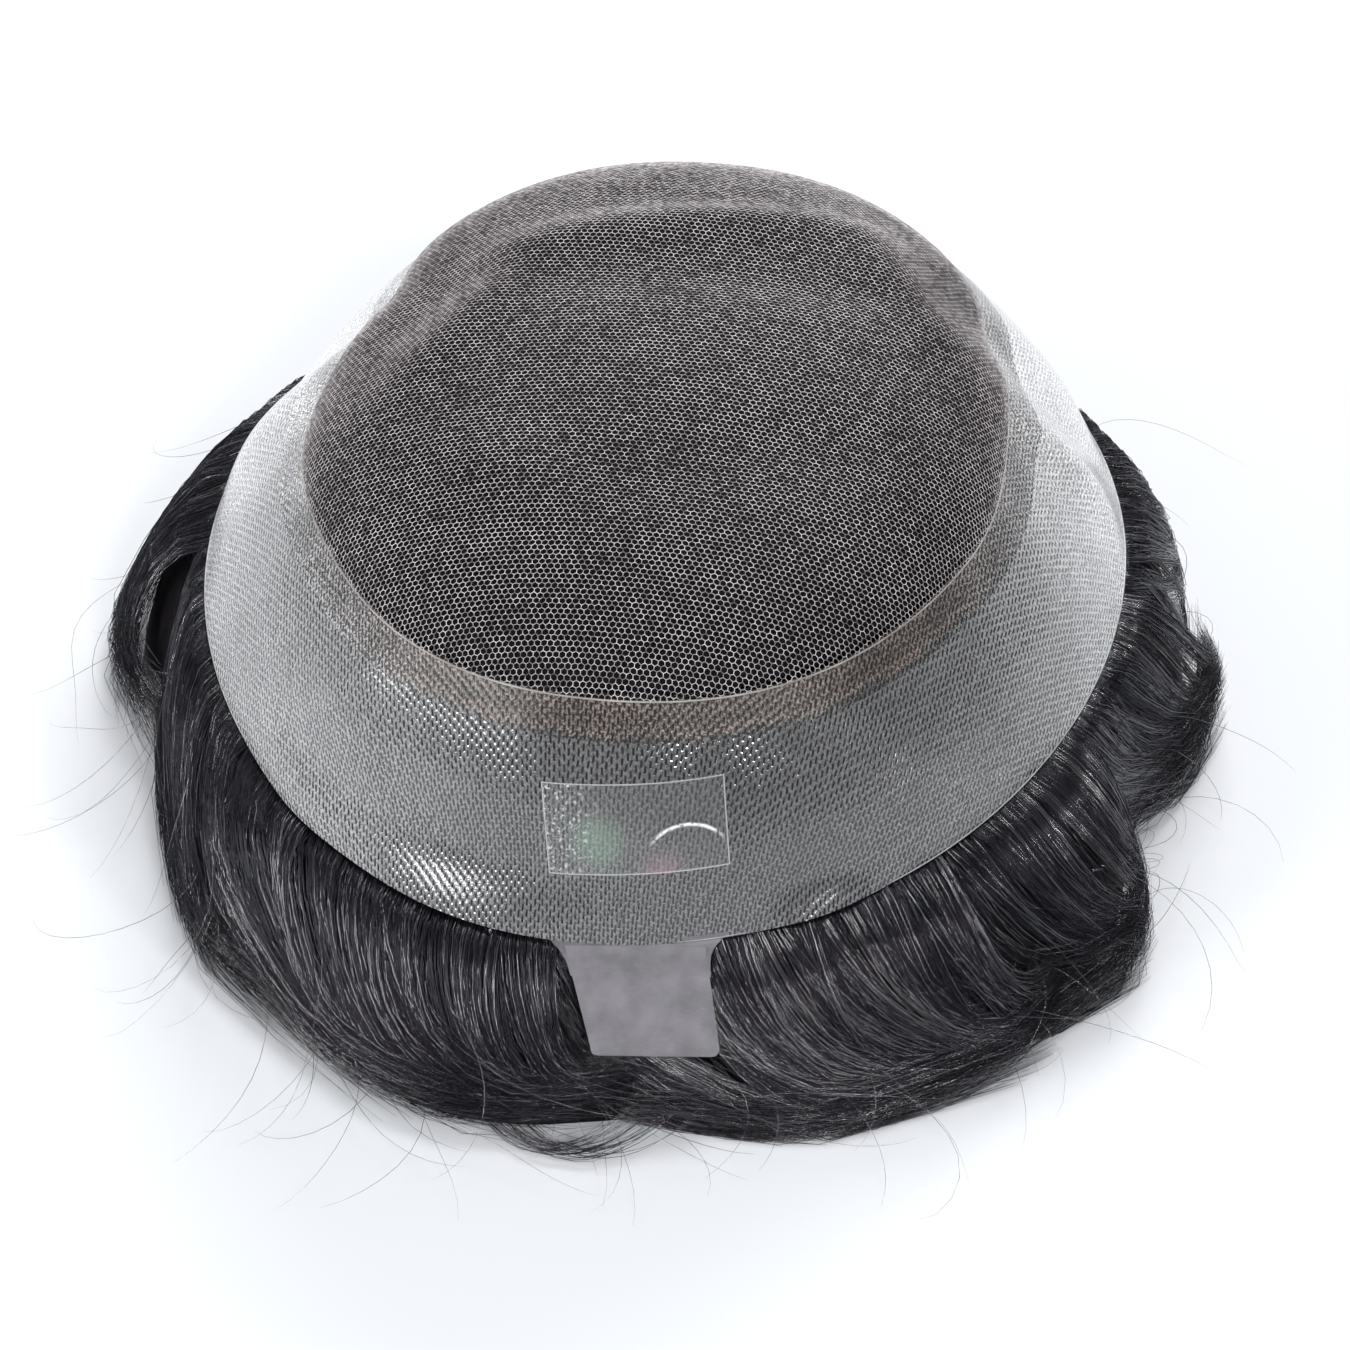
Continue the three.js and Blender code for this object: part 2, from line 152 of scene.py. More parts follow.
def edge_line(turn):
    front = np.sin(turn) < 0
    reach = np.where(front, net_front_reach + rim_front_run, net_back_reach + rim_back_run)
    side = net_half_width + rim_side_run
    return np.stack((side * np.cos(turn), reach * np.sin(turn), edge_height(turn)), axis=-1)


def arc_height(share):
    return np.sqrt(1 - (crown_turnover * share) ** 2)


def fold_height(x, y):
    height = 0
    for fold_x, fold_y, turn, length, width, lift in net_folds:
        away_x = (x - fold_x * net_half_width) / net_half_width
        away_y = (y - fold_y * net_front_reach) / net_half_width
        c, s = math.cos(math.radians(turn)), math.sin(math.radians(turn))
        along, across = c * away_x + s * away_y, c * away_y - s * away_x
        height = height + lift * hump(along, length) * hump(across, width)
    return crown_rise * height


mean_net_height = (net_line(np.array((0, math.pi / 2, 1.5 * math.pi)))[:, 2]).mean()


def base_surface(share, turn):
    share, turn = np.broadcast_arrays(np.asarray(share, float), np.asarray(turn, float))
    net = net_line(turn)
    on_net = np.minimum(share, 1)
    x, y = net[..., 0] * on_net, net[..., 1] * on_net
    flat = net[..., 2] * on_net ** 2 + mean_net_height * (1 - on_net ** 2)
    dome = crown_rise * (arc_height(on_net) - arc_height(1)) / (1 - arc_height(1))
    crown = np.stack((x, y, flat + dome + fold_height(x, y) * (1 - on_net ** 4)), axis=-1)
    down = np.maximum(share - 1, 0)[..., None]
    swell = 1 + sum(lift * hump(turn_from(turn, t), s) for t, lift, s in rim_waves)
    outward = np.stack((np.cos(turn), np.sin(turn), np.full(turn.shape, rim_bulge_rise)), axis=-1)
    outward /= np.linalg.norm(outward, axis=-1, keepdims=True)
    bulge = outward * (rim_bulge * swell)[..., None] * np.sin(math.pi * np.minimum(down, 1))
    rim = net * (1 - down) + edge_line(turn) * down + bulge
    return np.where((share <= 1)[..., None], crown, rim)


def under_base(share, turn, depth):
    step = 0.004
    inner = np.maximum(share - step, 0.001)
    along = base_surface(share + step, turn) - base_surface(inner, turn)
    around = base_surface(share, turn + step) - base_surface(share, turn - step)
    out = np.cross(along, around)
    length = np.linalg.norm(out, axis=-1, keepdims=True)
    out = np.where(length > 1e-9, out / np.maximum(length, 1e-9), (0, 0, 1))
    out = np.where((np.asarray(share) < 0.02)[..., None], (0, 0, 1), out)
    return base_surface(share, turn) - out * np.asarray(depth)[..., None]


# Lengths along the base from the crown's middle, by turn and share
turn_steps = 720
table_turns = np.linspace(0, 2 * math.pi, turn_steps + 1)
table_shares = np.concatenate((
    np.linspace(0, 0.9, 91), np.linspace(0.902, 1, 50), np.linspace(1.01, 2, 100),
))
table_places = base_surface(table_shares[None, :], table_turns[:, None])
table_steps = np.linalg.norm(np.diff(table_places, axis=1), axis=-1)
table_lengths = np.concatenate((np.zeros((turn_steps + 1, 1)), np.cumsum(table_steps, axis=1)), axis=1)
length_step = 0.25
length_marks = np.arange(0, 140, length_step)
share_at_length = np.stack([
    np.interp(length_marks, lengths, table_shares, right=2.2) for lengths in table_lengths
])


def laid_on_base(flat_x, flat_y):
    reach = np.where(flat_y < 0, net_front_reach, net_back_reach)
    turn = np.arctan2(flat_y / reach, flat_x / net_half_width) % (2 * math.pi)
    a = turn / (2 * math.pi) * turn_steps
    b = np.minimum(np.hypot(flat_x, flat_y) / length_step, len(length_marks) - 2)
    i, j = a.astype(int) % turn_steps, b.astype(int)
    p, q = a - a.astype(int), b - j
    low = share_at_length[i, j] * (1 - q) + share_at_length[i, j + 1] * q
    high = share_at_length[i + 1, j] * (1 - q) + share_at_length[i + 1, j + 1] * q
    return low * (1 - p) + high * p, turn


def flat_on_base(share, turn):
    place = base_surface(share, turn)
    k = np.clip(np.asarray(turn) / (2 * math.pi) * turn_steps, 0, turn_steps)
    i = np.minimum(k.astype(int), turn_steps - 1)
    looked_up = list(zip(share.ravel(), i.ravel()))
    low = np.array([np.interp(s, table_shares, table_lengths[n]) for s, n in looked_up])
    high = np.array([np.interp(s, table_shares, table_lengths[n + 1]) for s, n in looked_up])
    part = (k - i).ravel()
    length = (low * (1 - part) + high * part).reshape(share.shape)
    plan = np.hypot(place[..., 0], place[..., 1])
    way = place[..., :2] / np.maximum(plan, 1e-6)[..., None]
    return way * length[..., None]


def piece_from_arrays(name, places, quads, triangles=()):
    mesh = bpy.data.meshes.new(name)
    mesh.vertices.add(len(places))
    mesh.vertices.foreach_set("co", ((places + crown_offset) / 1000).ravel())
    corners = np.concatenate((quads.ravel(), np.ravel(triangles))).astype(np.int32)
    mesh.loops.add(len(corners))
    mesh.loops.foreach_set("vertex_index", corners)
    mesh.polygons.add(len(quads) + len(triangles))
    starts = np.concatenate((np.arange(len(quads)) * 4, quads.size + np.arange(len(triangles)) * 3))
    mesh.polygons.foreach_set("loop_start", starts.astype(np.int32))
    mesh.update(calc_edges=True)
    mesh.validate()
    mesh.polygons.foreach_set("use_smooth", np.ones(len(mesh.polygons), dtype=bool))
    piece = bpy.data.objects.new(name, mesh)
    bpy.context.scene.collection.objects.link(piece)
    return piece


def new_finish(name):
    finish = bpy.data.materials.new(name)
    finish.use_nodes = True
    return finish, finish.node_tree.nodes, finish.node_tree.links


def noise_texture(tree, place, scale, detail, roughness=0.5):
    noise = tree.nodes.new("ShaderNodeTexNoise")
    noise.inputs["Scale"].default_value = scale
    noise.inputs["Detail"].default_value = detail
    noise.inputs["Roughness"].default_value = roughness
    tree.links.new(place, noise.inputs["Vector"])
    return noise.outputs["Fac"]


def two_shades(tree, value, low, dark, high, light):
    shades = tree.nodes.new("ShaderNodeValToRGB")
    for k, (place, shade) in enumerate(((low, dark), (high, light))):
        shades.color_ramp.elements[k].position = place
        shades.color_ramp.elements[k].color = (*shade, 1)
    tree.links.new(value, shades.inputs["Fac"])
    return shades


rng = np.random.default_rng(7)
row_pitch = cell_pitch * math.sqrt(3) / 2
rows, columns = np.mgrid[-110:111, -90:91]
centre_x = (columns + 0.5 * (rows % 2)) * cell_pitch
centre_y = rows * row_pitch
corner_angles = np.radians((30, 90, 150, 210, 270, 330))
corner_reach = cell_pitch / math.sqrt(3)
corner_x = centre_x[..., None] + corner_reach * np.cos(corner_angles)
corner_y = centre_y[..., None] + corner_reach * np.sin(corner_angles)
cell_share, _ = laid_on_base(centre_x, centre_y)
kept = cell_share < 1.03
keys = np.stack((np.rint(corner_x[kept] * 1e3), np.rint(corner_y[kept] * 1e3)), axis=-1)
keys = np.round(keys / 4).astype(int)
joints_found, joint_of = np.unique(keys.reshape(-1, 2), axis=0, return_inverse=True)
joint_of = joint_of.reshape(keys.shape[:2])
joint_flat = np.zeros((len(joints_found), 2))
joint_flat[joint_of.ravel(), 0] = corner_x[kept].ravel()
joint_flat[joint_of.ravel(), 1] = corner_y[kept].ravel()
wander = np.sin(joint_flat[:, ::-1] * 3.3 + 2 * np.sin(joint_flat * 0.4))
joint_flat += 0.035 * wander + 0.025 * rng.standard_normal(joint_flat.shape)
cell_flat = np.stack((centre_x[kept], centre_y[kept]), axis=-1)
inward_part = thread_width / math.sqrt(3) / corner_reach
ring_flat = joint_flat[joint_of] * (1 - inward_part) + cell_flat[:, None, :] * inward_part
cell_count = len(cell_flat)
top_share, top_turn = laid_on_base(joint_flat[:, 0], joint_flat[:, 1])
ring_share, ring_turn = laid_on_base(ring_flat[..., 0].ravel(), ring_flat[..., 1].ravel())
joint_inside = top_share < 1.0
top_places = under_base(np.minimum(top_share, 1.0), top_turn, np.full(len(top_turn), -thread_height))
ring_places = base_surface(np.minimum(ring_share, 1.0), ring_turn)
net_places = np.concatenate((top_places, ring_places))
joint_tone = rng.beta(2, 2, len(joint_flat))
# Painted shade: each thread's feet, where it meets the cells, get 0.6 of the tone at its top; the tone
# itself differs at random from joint to joint
ring_tone_shaded = (0.6 * joint_tone[joint_of]).ravel()
net_tone_and_shade = np.concatenate((joint_tone, ring_tone_shaded))
ring_index = len(joint_flat) + np.arange(cell_count * 6).reshape(cell_count, 6)
quads = []
for k in range(6):
    n = (k + 1) % 6
    side = np.stack((joint_of[:, k], joint_of[:, n], ring_index[:, n], ring_index[:, k]), axis=-1)
    alive = joint_inside[joint_of[:, k]] | joint_inside[joint_of[:, n]]
    quads.append(side[alive])
quads = np.concatenate(quads)[:, ::-1]

net_thread_finish, nodes, links = new_finish("net_thread")
thread_shader = nodes["Principled BSDF"]
where = nodes.new("ShaderNodeTexCoord")
tree = net_thread_finish.node_tree
mottle = noise_texture(tree, where.outputs["Object"], 70, 4)
thread_tone_and_shade = nodes.new("ShaderNodeAttribute")
thread_tone_and_shade.attribute_name = "thread"
# Random mottle and thread tone, with the painted shade at the threads' feet
mottle_tone_and_shade = nodes.new("ShaderNodeMath")
mottle_tone_and_shade.operation = "MULTIPLY_ADD"
mottle_tone_and_shade.inputs[1].default_value = 0.4
links.new(mottle, mottle_tone_and_shade.inputs[0])
links.new(thread_tone_and_shade.outputs["Fac"], mottle_tone_and_shade.inputs[2])
thread_shades = two_shades(
    tree, mottle_tone_and_shade.outputs[0], 0.3, (0.085, 0.072, 0.072), 1.0, (0.62, 0.584, 0.592))
links.new(thread_shades.outputs["Color"], thread_shader.inputs["Base Color"])
thread_shader.inputs["Roughness"].default_value = 0.5

for name, part in (("crown_net_front", quads[net_places[quads[:, 0], 1] < 0]),
                   ("crown_net_back", quads[net_places[quads[:, 0], 1] >= 0])):
    used, renumbered = np.unique(part, return_inverse=True)
    net_piece = piece_from_arrays(name, net_places[used], renumbered.reshape(part.shape))
    thread_layer = net_piece.data.attributes.new("thread", "FLOAT", "POINT")
    thread_layer.data.foreach_set("value", net_tone_and_shade[used])
    net_piece.data.materials.append(net_thread_finish)
    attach(net_piece, "root")
    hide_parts("net_crown")


# The hair knotted to the net: short dark hair pressed flat against the net's underside, combed
# from front to back. It fills the cells of the net with near-black.
def carried_round(name, sections, closes_on_itself):
    around, count = sections.shape[0], sections.shape[1]
    index = np.arange(around * count).reshape(around, count)
    following = np.roll(index, -1, axis=0)
    last = count if closes_on_itself else count - 1
    k = np.arange(last)
    n = (k + 1) % count
    corners = np.stack((index[:, k], index[:, n], following[:, n], following[:, k]), axis=-1)
    return piece_from_arrays(name, sections.reshape(-1, 3), corners.reshape(-1, 4))


def select_and_weld(piece):
    bpy.ops.object.select_all(action="DESELECT")
    piece.select_set(True)
    bpy.context.view_layer.objects.active = piece
    bpy.ops.object.mode_set(mode="EDIT")
    bpy.ops.mesh.select_all(action="SELECT")
    bpy.ops.mesh.remove_doubles(threshold=0.00002)
    bpy.ops.mesh.normals_make_consistent(inside=False)
    bpy.ops.mesh.select_all(action="DESELECT")
    bpy.ops.object.mode_set(mode="OBJECT")


def mixed(tree, factor, first, second):
    mix = tree.nodes.new("ShaderNodeMix")
    mix.data_type = "RGBA"
    tree.links.new(factor, mix.inputs["Factor"])
    for socket, colour in (("A", first), ("B", second)):
        if isinstance(colour, tuple):
            mix.inputs[socket].default_value = (*colour, 1)
        else:
            tree.links.new(colour, mix.inputs[socket])
    return mix.outputs["Result"]


def bumped(tree, height, strength, distance):
    bump = tree.nodes.new("ShaderNodeBump")
    bump.inputs["Strength"].default_value = strength
    bump.inputs["Distance"].default_value = distance
    tree.links.new(height, bump.inputs["Height"])
    tree.links.new(bump.outputs["Normal"], tree.nodes["Principled BSDF"].inputs["Normal"])


round_turns = np.linspace(0, 2 * math.pi, 180, endpoint=False)
lining_shares = np.concatenate((np.linspace(0, 0.9, 30), np.linspace(0.92, 0.992, 8)))
lining_grid = (len(round_turns), len(lining_shares))
lining_top = under_base(lining_shares[None, :], round_turns[:, None], np.full(lining_grid, 0.35))
lining_under = under_base(lining_shares[None, ::-1], round_turns[:, None], np.full(lining_grid, 7.5))
knotted_hair = carried_round("knotted_hair", np.concatenate((lining_top, lining_under), axis=1), False)
select_and_weld(knotted_hair)

knotted_finish, nodes, links = new_finish("knotted_hair")
tree = knotted_finish.node_tree
where = nodes.new("ShaderNodeTexCoord")
stretch = nodes.new("ShaderNodeMapping")
stretch.inputs["Scale"].default_value = (2600, 260, 900)
links.new(where.outputs["Object"], stretch.inputs["Vector"])
combed = noise_texture(tree, stretch.outputs["Vector"], 1, 6, 0.7)
spread = nodes.new("ShaderNodeMapRange")
spread.inputs["From Min"].default_value = 0.4
spread.inputs["From Max"].default_value = 0.75
links.new(combed, spread.inputs["Value"])
blacks = mixed(tree, spread.outputs["Result"], (0.002, 0.0018, 0.0025), (0.012, 0.01, 0.012))
links.new(blacks, nodes["Principled BSDF"].inputs["Base Color"])
nodes["Principled BSDF"].inputs["Roughness"].default_value = 0.55
nodes["Principled BSDF"].inputs["Specular IOR Level"].default_value = 0.05
bumped(tree, combed, 0.5, 0.0003)
knotted_hair.data.materials.append(knotted_finish)
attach(knotted_hair, "root")
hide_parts("crown_hair")


# The film skin: thin clear film that slopes down round the crown, with hair set through it in
# staggered rows that run from front to back. Each hair shows as a short dark dash, and the film
# swells a little between them, so that its gloss breaks up.
skin_wall = 0.3
# Places where the film bows outwards towards its free edge: turn, width, length down, height, slope
film_flares = ((251.5, 17, 31.5, 9, 0.4), (297.5, 6, 33, 5, 0.49), (230, 8, 28, 6, 0.36))
skin_turns = np.linspace(0, 2 * math.pi, 360, endpoint=False)


def share_down(turn, length):
    span = np.linalg.norm(net_line(turn) - edge_line(turn), axis=-1)
    return 1 + length / span


def band_of_film(name, start, end, wall, steps):
    part = np.linspace(0, 1, steps + 1)
    shares = start[:, None] * (1 - part) + end[:, None] * part
    turns = np.broadcast_to(skin_turns[:, None], shares.shape)
    down = (shares - 1) / (share_down(turns, 1) - 1)
    sunk = sum(
        slope * (length - down) * hump(down - length, tall) * hump(turn_from(turns, t), wide)
        for t, wide, length, tall, slope in film_flares)
    upper = under_base(shares, turns, sunk)
    lower = under_base(shares, turns, sunk + wall)
    band = carried_round(name, np.concatenate((upper, lower[:, ::-1]), axis=1), True)
    flat = flat_on_base(shares, turns)
    flat = np.concatenate((flat, flat[:, ::-1]), axis=1).reshape(-1, 2)
    layer = band.data.uv_layers.new(name="flat")
    corner = np.zeros(len(band.data.loops), dtype=np.int32)
    band.data.loops.foreach_get("vertex_index", corner)
    layer.data.foreach_set("uv", (flat[corner] / 1000).ravel())
    bpy.ops.object.select_all(action="DESELECT")
    band.select_set(True)
    bpy.context.view_layer.objects.active = band
    bpy.ops.object.shade_smooth_by_angle(angle=math.radians(45))
    all_shares = np.concatenate((shares, shares[:, ::-1]), axis=1).ravel()
    all_turns = np.concatenate((turns, turns), axis=1).ravel()
    return band, all_shares, all_turns


set_hair = bpy.data.node_groups.new("hair_set_in_film", "ShaderNodeTree")
for label, kind in (("Across", 1.5), ("Along", 1.64), ("Width", 0.1), ("Length", 0.36)):
    socket = set_hair.interface.new_socket(label, in_out="INPUT", socket_type="NodeSocketFloat")
    socket.default_value = kind
set_hair.interface.new_socket("Vector", in_out="INPUT", socket_type="NodeSocketVector")
set_hair.interface.new_socket("Place", in_out="INPUT", socket_type="NodeSocketVector")
for label in ("Dash", "Height", "Cloud", "Grain"):
    set_hair.interface.new_socket(label, in_out="OUTPUT", socket_type="NodeSocketFloat")
set_in = set_hair.nodes.new("NodeGroupInput")
set_out = set_hair.nodes.new("NodeGroupOutput")


def reckon(tree, operation, first, second=None, third=None):
    node = tree.nodes.new("ShaderNodeMath")
    node.operation = operation
    for place, value in enumerate((first, second, third)):
        if value is None:
            continue
        if isinstance(value, (int, float)):
            node.inputs[place].default_value = value
        else:
            tree.links.new(value, node.inputs[place])
    return node.outputs[0]


flat_xy = set_hair.nodes.new("ShaderNodeSeparateXYZ")
set_hair.links.new(set_in.outputs["Vector"], flat_xy.inputs[0])
drift = noise_texture(set_hair, set_in.outputs["Vector"], 300, 1)
cloud = noise_texture(set_hair, set_in.outputs["Place"], 70, 4)
grain = noise_texture(set_hair, set_in.outputs["Place"], 3200, 2)
set_hair.links.new(cloud, set_out.inputs["Cloud"])
set_hair.links.new(grain, set_out.inputs["Grain"])
sway = reckon(set_hair, "MULTIPLY_ADD", drift, 0.25, -0.125)
along_size = reckon(set_hair, "MULTIPLY", set_in.outputs["Along"], 0.001)
across_size = reckon(set_hair, "MULTIPLY", set_in.outputs["Across"], 0.001)
row_place = reckon(set_hair, "ADD", reckon(set_hair, "DIVIDE", flat_xy.outputs["Y"], along_size), sway)
column_place = reckon(set_hair, "DIVIDE", flat_xy.outputs["X"], across_size)


def soft_step(tree, value, low, high):
    node = tree.nodes.new("ShaderNodeMapRange")
    node.interpolation_type = "SMOOTHSTEP"
    node.inputs["From Min"].default_value = low
    node.inputs["From Max"].default_value = high
    tree.links.new(value, node.inputs["Value"])
    return node.outputs["Result"]


dashes = []
for stagger in (0, 0.5):
    row = reckon(set_hair, "ADD", row_place, stagger)
    column = reckon(set_hair, "ADD", column_place, stagger)
    cell = set_hair.nodes.new("ShaderNodeCombineXYZ")
    set_hair.links.new(reckon(set_hair, "FLOOR", column), cell.inputs["X"])
    set_hair.links.new(reckon(set_hair, "FLOOR", row), cell.inputs["Y"])
    dice = set_hair.nodes.new("ShaderNodeTexWhiteNoise")
    dice.noise_dimensions = "2D"
    set_hair.links.new(cell.outputs[0], dice.inputs["Vector"])
    dice_parts = set_hair.nodes.new("ShaderNodeSeparateColor")
    set_hair.links.new(dice.outputs["Color"], dice_parts.inputs[0])
    middle = reckon(set_hair, "MULTIPLY_ADD", dice_parts.outputs["Red"], 0.16, 0.42)
    off_across = reckon(set_hair, "SUBTRACT", reckon(set_hair, "FRACT", column), middle)
    off_along = reckon(set_hair, "SUBTRACT", reckon(set_hair, "FRACT", row), 0.5)
    lean = reckon(set_hair, "MULTIPLY_ADD", dice_parts.outputs["Green"], 0.3, -0.15)
    off_across = reckon(set_hair, "MULTIPLY_ADD", off_along, lean, off_across)
    off_across = reckon(set_hair, "ABSOLUTE", off_across)
    off_along = reckon(set_hair, "ABSOLUTE", off_along)
    near_across = reckon(set_hair, "DIVIDE", off_across, set_in.outputs["Width"])
    near_along = reckon(set_hair, "DIVIDE", off_along, set_in.outputs["Length"])
    in_across = soft_step(set_hair, reckon(set_hair, "SUBTRACT", 1.4, near_across), 0.1, 0.6)
    in_along = soft_step(set_hair, reckon(set_hair, "SUBTRACT", 1.4, near_along), 0.1, 0.7)
    strength = reckon(set_hair, "MULTIPLY_ADD", dice_parts.outputs["Blue"], 0.3, 0.9)
    in_dash = reckon(set_hair, "MULTIPLY", in_across, in_along)
    dashes.append(reckon(set_hair, "MULTIPLY", in_dash, strength))
dash = reckon(set_hair, "MAXIMUM", dashes[0], dashes[1])
set_hair.links.new(dash, set_out.inputs["Dash"])
wave_across = reckon(set_hair, "COSINE", reckon(set_hair, "MULTIPLY", column_place, 2 * math.pi))
wave_along = reckon(set_hair, "COSINE", reckon(set_hair, "MULTIPLY", row_place, 2 * math.pi))
pillow = reckon(set_hair, "MULTIPLY", reckon(set_hair, "MULTIPLY", wave_across, wave_along), -0.1)
pillow = reckon(set_hair, "MULTIPLY_ADD", drift, 0.3, pillow)
pillow = reckon(set_hair, "MULTIPLY_ADD", dash, -0.2, pillow)
set_hair.links.new(pillow, set_out.inputs["Height"])


def film_finish(name, roughness, gloss, ripple, spacing, grain_dark):
    finish, nodes, links = new_finish(name)
    tree = finish.node_tree
    shader = nodes["Principled BSDF"]
    flat = nodes.new("ShaderNodeUVMap")
    flat.uv_map = "flat"
    hairs_set = nodes.new("ShaderNodeGroup")
    hairs_set.node_tree = set_hair
    hairs_set.inputs["Across"].default_value = spacing[0]
    hairs_set.inputs["Along"].default_value = spacing[1]
    hairs_set.inputs["Width"].default_value = 0.18 / spacing[0]
    links.new(flat.outputs["UV"], hairs_set.inputs["Vector"])
    where = nodes.new("ShaderNodeTexCoord")
    links.new(where.outputs["Object"], hairs_set.inputs["Place"])
    body = nodes.new("ShaderNodeAttribute")
    body.attribute_name = "film_colour"
    clouded = reckon(tree, "MULTIPLY_ADD", hairs_set.outputs["Cloud"], 0.5, 0.75)
    specks = soft_step(tree, hairs_set.outputs["Grain"], 0.36, 0.64)
    grained = reckon(tree, "MULTIPLY_ADD", specks, 1 - grain_dark, grain_dark)
    shade = reckon(tree, "MULTIPLY", clouded, grained)
    shaded = nodes.new("ShaderNodeVectorMath")
    shaded.operation = "SCALE"
    links.new(body.outputs["Color"], shaded.inputs[0])
    links.new(shade, shaded.inputs["Scale"])
    paler = nodes.new("ShaderNodeSeparateColor")
    links.new(body.outputs["Color"], paler.inputs[0])
    # The dashes show less dark where the painted light makes the film pale
    seen = reckon(tree, "MULTIPLY_ADD", paler.outputs["Red"], -0.72, 1.06)
    dash_seen = reckon(tree, "MULTIPLY", hairs_set.outputs["Dash"], seen)
    dashed = mixed(tree, dash_seen, shaded.outputs[0], (0.007, 0.006, 0.007))
    links.new(dashed, shader.inputs["Base Color"])
    shader.inputs["Roughness"].default_value = roughness
    shader.inputs["IOR"].default_value = 1.5
    shader.inputs["Specular IOR Level"].default_value = gloss
    relief = reckon(
        tree, "MULTIPLY_ADD", hairs_set.outputs["Grain"], 0.12, hairs_set.outputs["Height"])
    bumped(tree, relief, ripple, 0.0002)
    return finish


def colour_points(piece, colours):
    layer = piece.data.attributes.new("film_colour", "FLOAT_COLOR", "POINT")
    rows = np.concatenate((colours, np.ones((len(colours), 1))), axis=-1)
    layer.data.foreach_set("color", rows.astype(np.float32).ravel())


seam_width = 6
# How pale the film is, by turn, as painted light: the sides are cloudier and paler with the table's
# light showing through, and hair lies close under the front
film_paleness_with_light = np.array((
    (0, 0.82), (8, 0.98), (22, 1.1), (40, 1.0), (60, 0.6), (90, 0.5), (120, 0.75), (140, 1.15),
    (160, 1.28), (175, 1.2), (185, 0.86), (193, 0.62), (203, 0.5), (215, 0.44), (228, 0.385),
    (235, 0.35), (245, 0.28), (255, 0.205), (275, 0.155), (295, 0.155), (310, 0.195), (325, 0.25),
    (340, 0.45), (350, 0.66), (360, 0.82),
))
film_skin, film_shares, film_turns = band_of_film(
    "film_skin", share_down(skin_turns, seam_width), np.full(360, 2.0), skin_wall, 28)
# Painted light in the film's colour, made paler still towards its free edge
pale = np.interp(np.degrees(film_turns), film_paleness_with_light[:, 0], film_paleness_with_light[:, 1])
pale = pale * (0.82 + 0.3 * np.clip(film_shares - 1.2, 0, 1))
colour_points(film_skin, pale[:, None] * np.array((0.985, 0.99, 1.01)))
film_skin.data.materials.append(film_finish("film_skin", 0.11, 1.0, 0.9, (1.5, 1.64), 0.42))
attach(film_skin, "root")
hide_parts("skin_rim")


# The margin of the net, sunk in the top of the film and brushed over with it. It is tan, with
# the threads just showing, and a thin pale bead runs along its inner edge.
margin, margin_shares, margin_turns = band_of_film(
    "bonded_margin", share_down(skin_turns, -0.05), share_down(skin_turns, seam_width), 1.0, 16)
rim_length = 36
tan_part = np.clip((margin_shares - 1) * rim_length / seam_width, 0, 1)
side_pale = np.interp(np.degrees(margin_turns), film_paleness_with_light[:, 0], film_paleness_with_light[:, 1])
# How tan the margin is, by turn: all tan in front, only a trace behind
margin_tan = np.array((
    (0, 0.1), (200, 0.1), (225, 0.35), (245, 1), (320, 1), (335, 0.5), (350, 0.15), (360, 0.1),
))
tan_round = np.interp(np.degrees(margin_turns), margin_tan[:, 0], margin_tan[:, 1])
ragged = 0.86 + 0.05 * np.sin(23 * margin_turns) + 0.04 * np.sin(61 * margin_turns + 1)
ragged = ragged + 0.03 * np.sin(137 * margin_turns)
sunk_net = 1 / (1 + np.exp((tan_part - ragged) / 0.03))
tan_round = (tan_round * sunk_net)[:, None]
# Painted light carried into the margin: its film colour and tan threads are paler where the film is,
# and the film colour is paler still round the left side
lit_left_side = hump(turn_from(margin_turns, 205), 40)
film_tone = (side_pale * (0.76 + 0.55 * lit_left_side))[:, None] * np.array((0.99, 0.995, 1.01))
thread_tan = np.array((0.25, 0.2, 0.178)) * (0.8 + 0.9 * side_pale)[:, None]
torn_edge = 0.35 * hump(tan_part - ragged + 0.06, 0.08)
middle_shade = 0.2 * hump(tan_part - 0.45, 0.2)
thread_tan = thread_tan * (1 + torn_edge - middle_shade)[:, None]
patches = 0.5 + 0.5 * np.sin(7 * margin_turns + 2) * np.sin(17 * margin_turns + 9 * margin_shares)
tan = (film_tone * (1 - tan_round) + thread_tan * tan_round) * (1.04 - 0.3 * patches[:, None])
colour_points(margin, tan)
margin.data.materials.append(film_finish("bonded_margin", 0.3, 0.5, 0.9, (1.35, 1.64), 0.1))
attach(margin, "root")
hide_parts("seam_band")


def bead_round(name, line, radius, sides):
    following = np.roll(line, -1, axis=0) - np.roll(line, 1, axis=0)
    following /= np.linalg.norm(following, axis=-1, keepdims=True)
    out = np.cross(following, (0, 0, 1))
    out /= np.linalg.norm(out, axis=-1, keepdims=True)
    over = np.cross(out, following)
    angle = 2 * math.pi * np.arange(sides) / sides
    ring = (out[:, None, :] * np.cos(angle)[:, None] + over[:, None, :] * np.sin(angle)[:, None])
    return carried_round(name, line[:, None, :] + radius * ring, True)


bead = bead_round("net_edge_bead", base_surface(np.ones(360), skin_turns), 0.14, 6)


def bead_finish(name, dark, light, roughness):
    finish, nodes, links = new_finish(name)
    where = nodes.new("ShaderNodeTexCoord")
    cloud = noise_texture(finish.node_tree, where.outputs["Object"], 180, 5)
    shades = two_shades(finish.node_tree, cloud, 0.35, dark, 0.65, light)
    links.new(shades.outputs["Color"], nodes["Principled BSDF"].inputs["Base Color"])
    nodes["Principled BSDF"].inputs["Roughness"].default_value = roughness
    return finish


